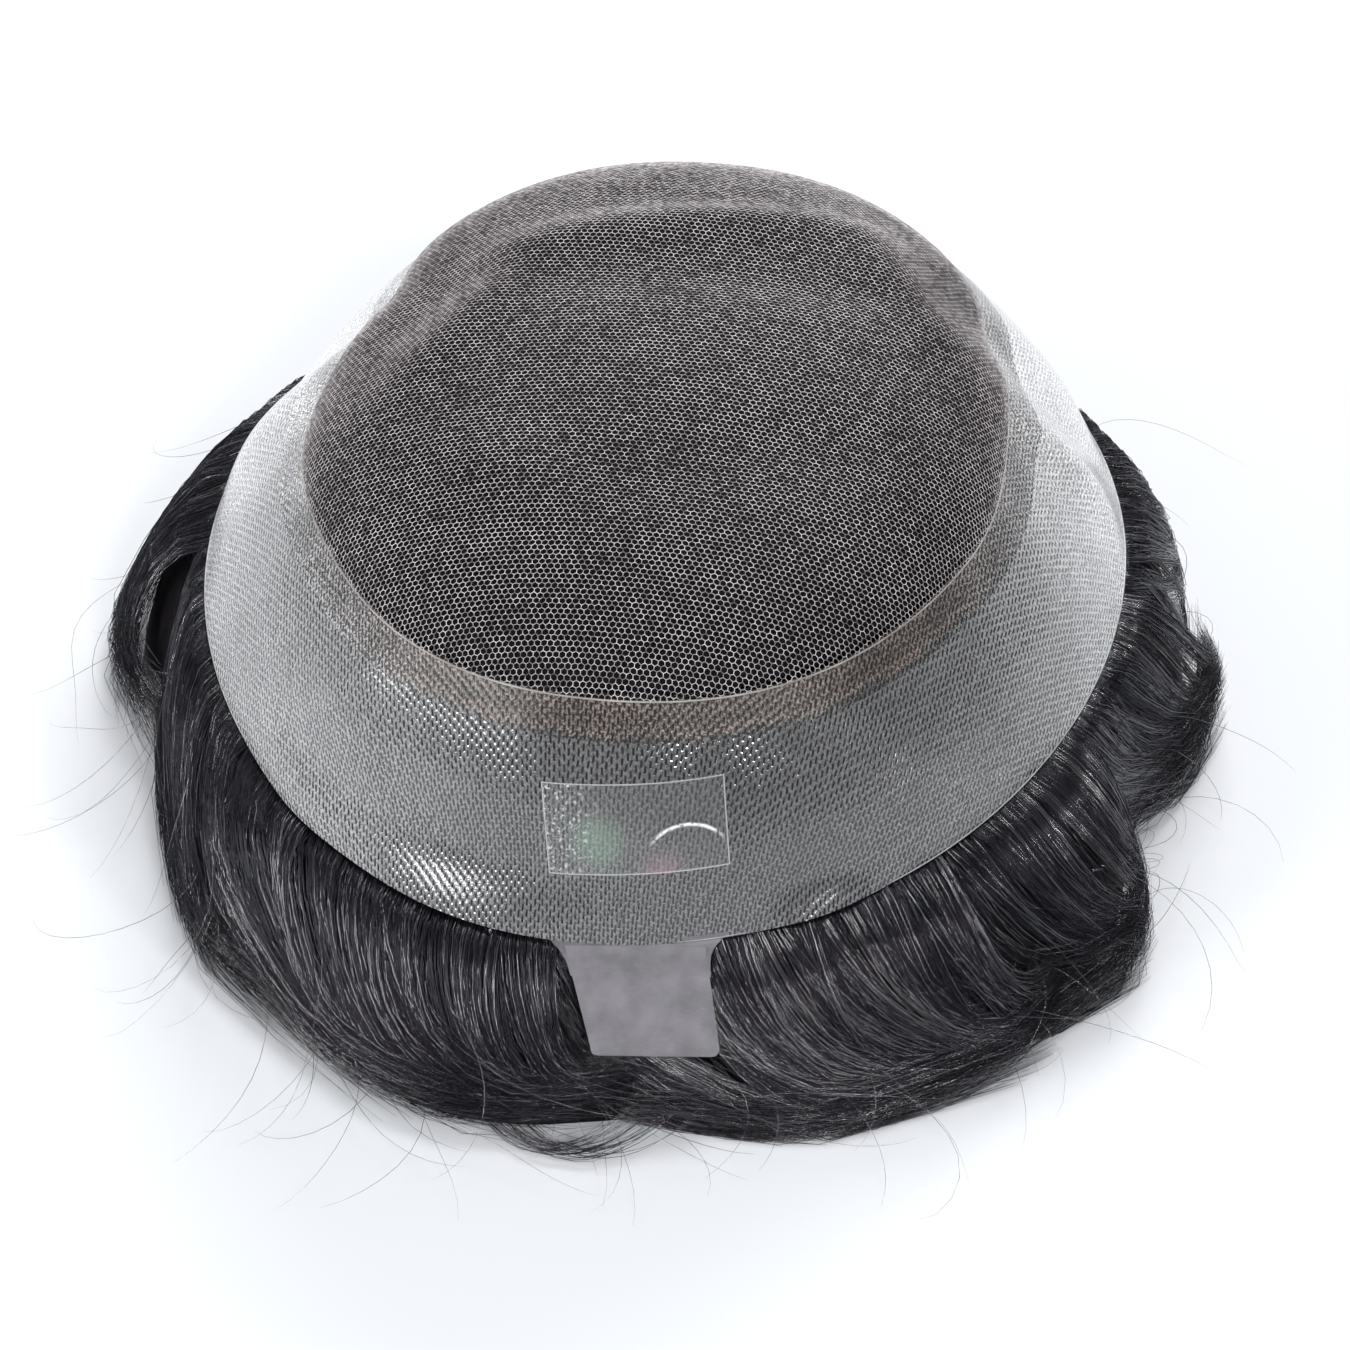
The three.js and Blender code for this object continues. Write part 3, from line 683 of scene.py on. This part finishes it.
pale_bead = bead_finish("net_edge_bead", (0.2, 0.18, 0.165), (0.38, 0.355, 0.33), 0.4)
bead.data.materials.append(pale_bead)
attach(bead, "root")

cut_edge = bead_round("film_cut_edge", base_surface(np.full(360, 1.995), skin_turns), 0.1, 6)
bright_cut = bead_finish("film_cut_edge", (0.26, 0.28, 0.275), (0.42, 0.45, 0.445), 0.25)
cut_edge.data.materials.append(bright_cut)
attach(cut_edge, "root")


# The tab: a strip of the same film left bare, to pull the base by. It is satin, wiped with
# adhesive and faintly scratched, and paler along its cut edges.
tab_node = bpy.data.objects["pull_tab"]
tab_turn, tab_width, tab_length, tab_wall = -85, 20, 15.5, 0.8
tab_skew = math.tan(math.radians(11))


def tab_frame():
    middle = edge_line(np.array(math.radians(tab_turn)))
    step = tab_width / 2 / (net_half_width + rim_side_run)
    left = edge_line(np.array(math.radians(tab_turn) - step))
    right = edge_line(np.array(math.radians(tab_turn) + step))
    across = (right - left) * (1, 1, 0)
    across /= np.linalg.norm(across)
    outward = np.cross(across, (0, 0, 1))
    tilt = math.radians(46)
    down = outward * math.cos(tilt) - np.array((0, 0, 1)) * math.sin(tilt)
    top = (left + right) / 2 + outward * np.dot(middle - left, outward)
    return top, across, down, -np.cross(across, down)


tab_top, tab_across, tab_down, tab_face = tab_frame()
tab_finish, nodes, links = new_finish("bare_film")
tree = tab_finish.node_tree
where = nodes.new("ShaderNodeTexCoord")
on_tab = nodes.new("ShaderNodeMapping")
turned = Matrix((tab_across, tab_down, tab_face))
on_tab.inputs["Rotation"].default_value = turned.to_euler()
on_tab.inputs["Location"].default_value = turned @ Vector(-(tab_top + crown_offset) / 1000)
links.new(where.outputs["Object"], on_tab.inputs["Vector"])
tab_xyz = nodes.new("ShaderNodeSeparateXYZ")
links.new(on_tab.outputs["Vector"], tab_xyz.inputs[0])
beside = reckon(tree, "MULTIPLY_ADD", tab_xyz.outputs["Y"], -tab_skew, tab_xyz.outputs["X"])
side_edge = soft_step(tree, reckon(tree, "ABSOLUTE", beside), 0.0083, 0.0096)
end_edge = soft_step(tree, tab_xyz.outputs["Y"], 0.0148, 0.0157)
wipe = noise_texture(tree, where.outputs["Object"], 260, 6)
rub = nodes.new("ShaderNodeMapping")
rub.inputs["Scale"].default_value = (500, 6000, 500)
rub.inputs["Rotation"].default_value = (0, 0, 0.25)
links.new(on_tab.outputs["Vector"], rub.inputs["Vector"])
scratches = noise_texture(tree, rub.outputs["Vector"], 1, 3)
scratched = soft_step(tree, scratches, 0.66, 0.74)
pale = reckon(tree, "MAXIMUM", side_edge, end_edge)
pale = reckon(tree, "MULTIPLY_ADD", pale, 0.25, reckon(tree, "MULTIPLY", wipe, 0.9))
pale = reckon(tree, "MULTIPLY_ADD", scratched, 0.45, pale)
tab_shades = two_shades(tree, pale, 0.25, (0.045, 0.043, 0.05), 0.85, (0.158, 0.152, 0.168))
links.new(tab_shades.outputs["Color"], nodes["Principled BSDF"].inputs["Base Color"])
wiped = reckon(tree, "MULTIPLY_ADD", wipe, 0.25, 0.3)
links.new(wiped, nodes["Principled BSDF"].inputs["Roughness"])
bumped(tree, reckon(tree, "ADD", scratches, wipe), 0.25, 0.0002)
tab_node.data.materials.clear()
tab_node.data.materials.append(tab_finish)

# The film widens a little above the tab and runs on into it
rim_length_at_tab = 36.4
root_down = np.array((-0.9, -0.6, -0.3, 0, 0.5, 1, 1.6, 2.4, 3.4, 4.6))[None, :]
root_half = np.array((13.4, 13.2, 12.9, 12.5, 11.8, 11.1, 10.6, 10.25, 10.05, 9.95))[None, :]
root_across = np.linspace(-1, 1, 41)[:, None] * root_half
root_turns = math.radians(tab_turn) + root_across / (net_half_width + rim_side_run)
root_shares = 2 + np.minimum(root_down, 0) / rim_length_at_tab
on_rim = under_base(root_shares, root_turns, np.full(root_turns.shape, -0.07))
on_rim = on_rim + np.maximum(root_down, 0)[..., None] * tab_down
on_tab_face = tab_top + (root_across + tab_skew * root_down)[..., None] * tab_across
root_lift = np.where(root_down > 4, -0.12, 0.06)
on_tab_face = on_tab_face + root_down[..., None] * tab_down + root_lift[..., None] * tab_face
eased = np.clip(root_down / 2.4, 0, 1)
eased = (eased * eased * (3 - 2 * eased))[..., None]
root_top = on_rim * (1 - eased) + on_tab_face * eased
root_wall = np.full(root_down.shape, 0.3)
root_wall[:, (0, -1)] = 0
root_under = root_top - root_wall[..., None] * tab_face
tab_root = carried_round("tab_root", np.concatenate((root_top, root_under[::-1])), False)
select_and_weld(tab_root)
bpy.ops.object.shade_smooth_by_angle(angle=math.radians(50))
tab_root.data.materials.append(tab_finish)
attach(tab_root, "root")


# The sticker: a small sheet of clear film stuck on the front of the rim, left blank. Its cut
# edge is bright, the left end is crazed, and a crease arches over the right end.
label_width, label_height, label_drop = 26, 13.5, 18.5
bpy.ops.object.select_all(action="DESELECT")
bpy.ops.mesh.primitive_grid_add(x_subdivisions=52, y_subdivisions=27, size=1)
sticker = bpy.context.object
sticker.name = sticker.data.name = "clear_sticker"
sheet = np.zeros(len(sticker.data.vertices) * 3)
sticker.data.vertices.foreach_get("co", sheet)
sheet = sheet.reshape(-1, 3)[:, :2] * (label_width, label_height)
lean = math.radians(4)
sheet = sheet @ np.array(((math.cos(lean), math.sin(lean)), (-math.sin(lean), math.cos(lean))))
side_on = np.zeros(len(sheet))
half_width = base_surface(share_down(side_on, label_drop - sheet[:, 1]), side_on)[:, 0]
label_turns = math.radians(-84.8) + sheet[:, 0] / half_width
label_shares = share_down(label_turns, label_drop - sheet[:, 1])
stuck = under_base(label_shares, label_turns, np.full(len(sheet), -0.32))
sticker.data.vertices.foreach_set("co", ((stuck + crown_offset) / 1000).ravel())
sticker.data.update()
film_wall = sticker.modifiers.new("film_wall", "SOLIDIFY")
film_wall.thickness = 0.00012
film_wall.offset = 1
bpy.ops.object.modifier_apply(modifier="film_wall")
bpy.ops.object.shade_smooth_by_angle(angle=math.radians(40))

sticker_finish, nodes, links = new_finish("clear_sticker")
tree = sticker_finish.node_tree
label_uv = nodes.new("ShaderNodeUVMap")
label_uv.uv_map = sticker.data.uv_layers[0].name
in_mm = nodes.new("ShaderNodeMapping")
in_mm.inputs["Scale"].default_value = (label_width, label_height, 1)
in_mm.inputs["Location"].default_value = (-label_width / 2, -label_height / 2, 0)
links.new(label_uv.outputs["UV"], in_mm.inputs["Vector"])
label_xyz = nodes.new("ShaderNodeSeparateXYZ")
links.new(in_mm.outputs["Vector"], label_xyz.inputs[0])


def round_patch(centre, radius, softness):
    from_centre = nodes.new("ShaderNodeVectorMath")
    from_centre.operation = "DISTANCE"
    from_centre.inputs[1].default_value = (centre[0], centre[1], 0)
    links.new(in_mm.outputs["Vector"], from_centre.inputs[0])
    away = from_centre.outputs["Value"]
    return away, soft_step(tree, reckon(tree, "SUBTRACT", radius + softness, away), 0, softness)


edge_x, edge_y = (
    soft_step(tree, reckon(tree, "ABSOLUTE", label_xyz.outputs[axis]), half - 0.28, half - 0.12)
    for axis, half in (("X", label_width / 2), ("Y", label_height / 2)))
cut = reckon(tree, "MAXIMUM", edge_x, edge_y)
crazing = noise_texture(tree, in_mm.outputs["Vector"], 1.6, 5, 0.7)
left_end = soft_step(tree, reckon(tree, "MULTIPLY", label_xyz.outputs["X"], -1), 2, 9)
crazed = reckon(tree, "MULTIPLY", soft_step(tree, crazing, 0.53, 0.62), left_end)
arch_radius = 6.4
arch_away, _ = round_patch((7.2, -6.2), arch_radius, 0.5)
off_arch = reckon(tree, "ABSOLUTE", reckon(tree, "SUBTRACT", arch_away, arch_radius))
arch = soft_step(tree, reckon(tree, "SUBTRACT", 0.5, off_arch), 0, 0.5)
arch = reckon(tree, "MULTIPLY", arch, soft_step(tree, label_xyz.outputs["Y"], -3.5, -0.5))
arch = reckon(tree, "MULTIPLY", arch, soft_step(tree, crazing, 0.36, 0.5))
_, green_tint = round_patch((-5.5, -1.8), 1.4, 4.4)
_, pink_tint = round_patch((3.5, -6.8), 0.8, 4.2)
white_marks = reckon(tree, "MAXIMUM", reckon(tree, "MULTIPLY", crazed, 0.55), arch)
white_marks = reckon(tree, "MAXIMUM", reckon(tree, "MULTIPLY", cut, 0.4), white_marks)
tint = mixed(tree, green_tint, (0.34, 0.35, 0.35), (0.33, 0.46, 0.37))
blush = mixed(tree, pink_tint, tint, (0.46, 0.33, 0.37))
marked = mixed(tree, white_marks, blush, (0.85, 0.88, 0.88))
links.new(marked, nodes["Principled BSDF"].inputs["Base Color"])
tinted = reckon(tree, "MAXIMUM", green_tint, pink_tint)
see = reckon(tree, "MULTIPLY_ADD", tinted, 0.12, 0.06)
links.new(reckon(tree, "MAXIMUM", see, white_marks), nodes["Principled BSDF"].inputs["Alpha"])
nodes["Principled BSDF"].inputs["Roughness"].default_value = 0.08
bumped(tree, reckon(tree, "MULTIPLY_ADD", left_end, crazing, arch), 0.6, 0.0003)
sticker.data.materials.append(sticker_finish)
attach(sticker, "root")
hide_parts("size_label")


# The hair set in the film: off-black hair that leaves the edge of the film all round, falls
# outwards and down over its own bulk, and turns counter-clockwise into lobes that lie on the
# table. Each hair is a thin tapering tube; a dark body of hair lies under them.
edge_radius_of = np.hypot(*edge_line(table_turns)[:, :2].T)
rim_shares = np.linspace(1, 2, 41)
rim_places = base_surface(rim_shares[None, :], table_turns[:, None])
rim_radii = np.hypot(rim_places[..., 0], rim_places[..., 1])
radius_marks = np.linspace(0, 1.02, 103)
film_height = np.stack([
    np.interp(radius_marks * edge_radius, np.maximum.accumulate(radii), heights)
    for edge_radius, radii, heights in zip(edge_radius_of, rim_radii, rim_places[..., 2])
])
tab_half, tab_reach = tab_width / 2 + 0.2, tab_length + 0.7
hair_crest = 0.99

# Each lobe: the turns its hair is rooted between, the turn of its tip, how many hairs, and how
# far it reaches past the edge of the film at turns round it.
hair_lobes = (
    ("hair_left", (126, 186), 201, 1100, (
        (118, 4), (125, 4), (140, 5), (150, 7.5), (158, 11), (165, 15.5), (173, 18), (180, 19.3),
        (186, 17.6), (192, 13.8), (198, 9.5), (203, 6))),
    ("hair_left_front", (160, 266), 278, 2950, (
        (152, 2), (170, 4), (180, 6), (190, 8), (198, 9.5), (207, 10.3), (213, 11.8), (219, 14),
        (225, 15.5), (234, 14.8), (240, 16.5), (249, 18.8), (258, 18.8), (266, 16.5), (272, 13.5),
        (278, 9.5), (284, 5))),
    ("hair_right_front", (254, 312), 323, 2350, (
        (250, 4), (262, 7), (270, 9), (276, 10), (282, 12), (288, 15.5), (294, 18), (303, 18.3),
        (309, 20), (313, 21.7), (318, 20.3), (322, 17.5), (327, 9))),
    ("hair_right_curl", (296, 336), 340, 1000, (
        (290, 7), (298, 10), (305, 13), (312, 16.5), (318, 18), (324, 19.3), (330, 21.7), (334, 18),
        (338, 11), (344, 6))),
    ("hair_right", (320, 358), 368, 1450, (
        (312, 4), (322, 6), (332, 7.5), (340, 8), (345, 8.5), (351, 12), (357, 14.8), (360, 16.3),
        (363, 17.8), (366, 16), (370, 12), (374, 7))),
    ("hair_right_back", (356, 396), 400, 800, (
        (350, 4), (358, 6.5), (364, 10), (370, 12.3), (378, 14), (382, 14.4), (387, 11), (392, 7.5),
        (398, 5.5), (404, 4.5))),
    ("hair_back_right", (390, 438), 441, 600, (
        (386, 4), (393, 4.5), (402, 6), (412, 9.5), (422, 13), (432, 12.5), (440, 9.5), (446, 6))),
    ("hair_back", (430, 470), 475, 650, (
        (426, 5), (434, 7), (444, 11), (455, 14), (465, 14), (473, 11), (480, 6))),
    ("hair_back_left", (464, 502), 508, 550, (
        (458, 5), (466, 6), (476, 10), (488, 12), (498, 12), (506, 9), (512, 6))),
)


def unit(rows):
    return rows / np.maximum(np.linalg.norm(rows, axis=-1, keepdims=True), 1e-9)


def outside_edge(turn, out, height):
    edge = edge_line(turn)
    plan = edge[..., :2] + unit(edge[..., :2]) * np.asarray(out)[..., None]
    return np.concatenate((plan, np.asarray(height)[..., None]), axis=-1)


def lobe_reach(lobe, degrees):
    marks = np.array(lobe[4], float)
    return np.interp(degrees, marks[:, 0], marks[:, 1])


def on_mound(reach, turn, part, lift):
    """A place on the bulging outside of the hair: part is 0 at the film's edge, 1 at the table"""
    beyond = np.clip(part, 0, 1)
    by_tab = hump(turn_from(turn, 283), 40)
    profile = (1 - beyond ** (1.9 - 0.45 * by_tab)) ** (0.62 + 0.26 * by_tab)
    height = hair_crest * edge_height(turn) * profile
    return outside_edge(turn, reach * part, height + lift)


def past_tab(away):
    """How far places lie past the tab's sides and end, and how far down it"""
    beside, down = away @ tab_across, away @ tab_down
    sideways = np.maximum(np.abs(beside - tab_skew * down) - tab_half, 0)
    return np.hypot(sideways, np.maximum(down - tab_reach, 0)), down


def kept_clear(places):
    """Hair held under the film, under the tab and over the table"""
    reach = np.where(places[..., 1] < 0, net_front_reach + rim_front_run, net_back_reach + rim_back_run)
    side = net_half_width + rim_side_run
    turn = np.arctan2(places[..., 1] / reach, places[..., 0] / side) % (2 * math.pi)
    i = (turn / (2 * math.pi) * turn_steps).astype(int) % turn_steps
    share = np.hypot(places[..., 0], places[..., 1]) / edge_radius_of[i]
    j = np.clip(share * 100, 0, 101.9)
    m = j.astype(int)
    roof = film_height[i, m] * (1 - (j - m)) + film_height[i, m + 1] * (j - m)
    roof = roof - 0.6 + 16 * np.maximum(share - 1.0, 0)
    height = np.where(share < 1.08, np.minimum(places[..., 2], roof), places[..., 2])
    places = np.concatenate((places[..., :2], height[..., None]), axis=-1)
    for _ in range(3):
        fine = np.arange(0, places.shape[-2] - 0.999, 0.125)
        low = np.minimum(fine.astype(int), places.shape[-2] - 2)
        between = (fine - low)[:, None]
        path = places[..., low, :] * (1 - between) + places[..., low + 1, :] * between
        away = path - tab_top
        past, down = past_tab(away)
        over = away @ tab_face + tab_wall + 0.3 - 0.7 * past
        over = np.where((down > -3) & (past < 3), over, 0)
        sink = np.clip(over.max(axis=-1), 0, None)[..., None]
        past, _ = past_tab(places - tab_top)
        places = places - (sink * np.clip(1.2 - past / 9, 0, 1))[..., None] * tab_face
    places[..., 2] = np.maximum(places[..., 2], 0.12)
    return places


def strands(paths, widths):
    """Closed tapering three-sided tubes round the paths"""
    count, steps = paths.shape[:2]
    along = unit(np.gradient(paths, axis=1))
    side_way = unit(np.cross(along, (0.01, 0.02, 1)))
    over = np.cross(side_way, along)
    angle = 2 * math.pi * np.arange(3) / 3 + math.pi / 6
    ring = side_way[:, :, None, :] * np.cos(angle)[:, None]
    ring = ring + over[:, :, None, :] * np.sin(angle)[:, None]
    tube = paths[:, :, None, :] + ring * (widths / 2)[:, :, None, None]
    index = np.arange(count * steps * 3).reshape(count, steps, 3)
    k = np.arange(3)
    n = (k + 1) % 3
    corners = np.stack((
        index[:, :-1][..., k], index[:, :-1][..., n], index[:, 1:][..., n], index[:, 1:][..., k],
    ), axis=-1)
    ends = np.concatenate((index[:, 0, ::-1], index[:, -1]))
    return tube.reshape(-1, 3), corners.reshape(-1, 4), ends


def lobe_hairs(lobe, steps):
    _, (first, last), tip, count, _ = lobe
    lock_count = max(int((last - first) / 1.7), 6)
    lock = rng.integers(0, lock_count, count)
    lock_place = np.arange(lock_count) + rng.uniform(0.1, 0.9, lock_count)
    lock_root = first + (last - first) * lock_place / lock_count
    dice = rng.uniform(-1, 1, (lock_count, 6))[lock]
    aside = rng.normal(0, 1, count)
    root = np.clip(lock_root[lock] + 1.1 * aside, first, last)
    trailing = np.clip((tip - root) / (tip - first), 0, 1)
    depth = rng.beta(1.1, 2.0, count)
    travel = np.minimum(tip - 2 - root, 42 + 20 * dice[:, 0])
    travel = np.maximum(travel + rng.normal(0, 0.6, count) - 0.75 * aside, 3)
    farthest = 0.74 + 0.28 * trailing ** 0.5 + 0.03 * dice[:, 1] + rng.normal(0, 0.012, count)
    farthest = np.clip(farthest - 0.1 * depth, 0.4, 1.02)
    late = 2.4 + 0.7 * dice[:, 2] + rng.normal(0, 0.05, count)
    length = 1 - np.minimum(rng.exponential(0.09, count), 0.4)
    s = np.linspace(0, 1, steps)[None, :] * length[:, None]
    degrees = root[:, None] + travel[:, None] * s ** late[:, None]
    part = -0.3 + (farthest[:, None] + 0.3) * (1 - (1 - np.minimum(s / 0.8, 1)) ** 1.8)
    part = part + 0.03 * dice[:, 4:5] * np.sin(7 * s + 2 * dice[:, 5:6]) * s
    curls = (rng.random(count) < 0.12) * rng.uniform(0, 0.25, count)
    curl_in = curls[:, None] * np.clip((s - 0.8) / 0.2, 0, 1) ** 2
    turn = np.radians(degrees)
    reach = lobe_reach(lobe, degrees)
    ripple = (0.9 * dice[:, 3:4] + 0.5 * np.sin(6 * s + 3 * dice[:, 3:4])) * np.minimum(1.5 * s, 1)
    fallen = 0.5 * (aside ** 2)[:, None] * s + 1.3 * depth[:, None]
    raised = 1.5 * trailing[:, None] * s ** 2 + ripple + 0.4 - fallen
    paths = on_mound(reach, turn, part - curl_in, raised)
    loose = rng.normal(0, 1, (count, 1, 3)) * (s ** 2)[..., None] * 0.5
    sheen = rng.beta(1.5, 2.2, count) * 0.85 + 0.16 * dice[:, 5] + (rng.random(count) < 0.04) * 0.4
    return kept_clear(paths + loose), np.clip(sheen, 0, 1)


def hair_piece(name, paths, width, tone, finish):
    s = np.linspace(0, 1, paths.shape[1])
    taper = np.where(s > 0.55, 1 - 0.75 * ((s - 0.55) / 0.45) ** 1.5, 1) * width
    thickness = taper[None, :] * rng.uniform(0.8, 1.2, (len(paths), 1))
    piece = piece_from_arrays(name, *strands(paths, thickness))
    layer = piece.data.attributes.new("tone", "FLOAT", "POINT")
    layer.data.foreach_set("value", np.repeat(tone, paths.shape[1] * 3))
    piece.data.materials.append(finish)
    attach(piece, "root")
    return piece


strand_finish, nodes, links = new_finish("hair_strand")
tone = nodes.new("ShaderNodeAttribute")
tone.attribute_name = "tone"
tree = strand_finish.node_tree
strand_shades = two_shades(
    tree, tone.outputs["Fac"], 0.0, (0.003, 0.003, 0.0045), 1.0, (0.1, 0.06, 0.042))
middle_shade = strand_shades.color_ramp.elements.new(0.8)
middle_shade.color = (0.015, 0.0135, 0.019, 1)
strand_shader = nodes["Principled BSDF"]
links.new(strand_shades.outputs["Color"], strand_shader.inputs["Base Color"])
strand_shader.inputs["Roughness"].default_value = 0.26
strand_shader.inputs["Specular IOR Level"].default_value = 0.5
strand_shader.inputs["Specular Tint"].default_value = (0.88, 0.88, 1, 1)
strand_shader.inputs["Coat Roughness"].default_value = 0.19
strand_shader.inputs["Coat IOR"].default_value = 2.5
strand_shader.inputs["Coat Tint"].default_value = (0.9, 0.9, 1, 1)
coated = soft_step(tree, tone.outputs["Fac"], 0.38, 0.62)
links.new(coated, strand_shader.inputs["Coat Weight"])

front_lobes = ("hair_left_front", "hair_right_front", "hair_right_curl")
more_sheen = {"hair_right_front": 0.09, "hair_left_front": -0.06}
for lobe in hair_lobes:
    paths, sheen = lobe_hairs(lobe, 10 if lobe[0] in front_lobes else 8)
    sheen = np.clip(sheen + more_sheen.get(lobe[0], 0), 0, 1)
    hair_piece(lobe[0], paths, 0.135, sheen, strand_finish)

# The body of hair under the single hairs, from the film's underside out to the table
body_turns = np.linspace(0, 2 * math.pi, 360, endpoint=False)
body_degrees = np.degrees(body_turns)
body_reach = np.zeros(360)
for lobe in hair_lobes:
    lobe_start, lobe_end = lobe[4][0][0], lobe[4][-1][0]
    for degrees in (body_degrees, body_degrees + 360):
        within = (degrees >= lobe_start) & (degrees <= lobe_end)
        body_reach = np.maximum(body_reach, np.where(within, lobe_reach(lobe, degrees), 0))
body_reach = np.stack([np.roll(body_reach, k) for k in range(-9, 10)]).mean(axis=0)
body_sink = -2.6 - 3.5 * hump(turn_from(body_turns, 271), 9)
body_rows = [under_base(np.full(360, 1.3), body_turns, np.full(360, 2.4)),
             under_base(np.full(360, 1.7), body_turns, np.full(360, 3.4)),
             under_base(np.full(360, 1.95), body_turns, np.full(360, 1.6))]
for part in np.linspace(0.05, 0.97, 12):
    body_rows.append(on_mound(0.86 * body_reach - 1.5, body_turns, np.full(360, part), body_sink))
body_rows.append(outside_edge(body_turns, 0.6 * body_reach, np.full(360, 0.3)))
body_rows.append(outside_edge(body_turns, np.full(360, -10.0), np.full(360, 0.3)))
body_rows.append(under_base(np.full(360, 1.3), body_turns, np.full(360, 8.0)))
hair_body = carried_round("hair_body", kept_clear(np.stack(body_rows, axis=1)), True)
hair_body.data.materials.append(knotted_finish)
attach(hair_body, "root")
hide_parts("edge_hair")

# Loose hairs that stray from the lobes, finer than the rest: each leaves the outline of a lobe
# nearly along it and bows round in a curve of its own
stray_count, stray_steps = 470, 12
s = np.linspace(0, 1, stray_steps + 1)
lobe_odds = (0.1, 0.34, 0.2, 0.12, 0.1, 0.05, 0.04, 0.03, 0.02)
lobe_pick = rng.choice(len(hair_lobes), stray_count, p=lobe_odds)
stray_paths = []
for number in lobe_pick:
    lobe = hair_lobes[number]
    start = rng.uniform(lobe[1][0] + 6, lobe[2] - 4)
    reach = lobe_reach(lobe, start)
    start_turn = np.array(math.radians(start))
    first_place = on_mound(reach, start_turn, np.array(rng.uniform(0.55, 0.95)), 0.3)
    ahead = outside_edge(np.array(math.radians(start + 2)), reach, 0)
    ahead = ahead - outside_edge(start_turn, reach, 0)
    heading = math.atan2(ahead[1], ahead[0]) - math.radians(rng.uniform(-8, 34))
    long = rng.uniform(12, 40)
    bend = rng.choice((-1, 1), p=(0.2, 0.8)) * rng.uniform(0.6, 3.2) * s ** rng.uniform(0.8, 2)
    bend = bend + rng.uniform(-0.4, 0.4) * np.sin(s * rng.uniform(3, 9))
    steps_x = np.cos(heading + bend) * long / stray_steps
    steps_y = np.sin(heading + bend) * long / stray_steps
    x = first_place[0] + np.concatenate(((0,), np.cumsum(steps_x[1:])))
    y = first_place[1] + np.concatenate(((0,), np.cumsum(steps_y[1:])))
    z = first_place[2] * (1 - s) ** 1.3
    z = z + rng.uniform(0.2, 4) * np.sin(s * math.pi * rng.uniform(0.6, 1.2)) + 0.3
    path = np.stack((x, y, z), axis=-1)
    if np.abs(x).max() < 103 and np.abs(y).max() < 120:
        stray_paths.append(path)
stray_tone = rng.uniform(0.3, 0.95, len(stray_paths))
hair_piece("stray_hairs", kept_clear(np.array(stray_paths)), 0.085, stray_tone, strand_finish)

# The tips of the left front lobe: a thin lock that bows out past the rest and comes back
loop_count = 38
along = np.linspace(0, 1, 14)[None, :]
loop_dice = rng.uniform(-1, 1, (loop_count, 4))
loop_turns = 261 + 3 * loop_dice[:, :1] + (18 + 2 * loop_dice[:, 1:2]) * along
loop_out = 11.5 + (6.8 + 1.2 * loop_dice[:, 2:3]) * np.sin(math.pi * along ** 0.9)
loop_height = 2.2 + 1.2 * loop_dice[:, 3:4] * along - 3 * along * (1 - along) + 4 * along ** 3
loop_height = np.broadcast_to(loop_height, loop_turns.shape)
loop_places = outside_edge(np.radians(loop_turns), loop_out, loop_height)
loop_tone = rng.uniform(0.2, 0.9, loop_count)
hair_piece("looped_lock", kept_clear(loop_places), 0.11, loop_tone, strand_finish)
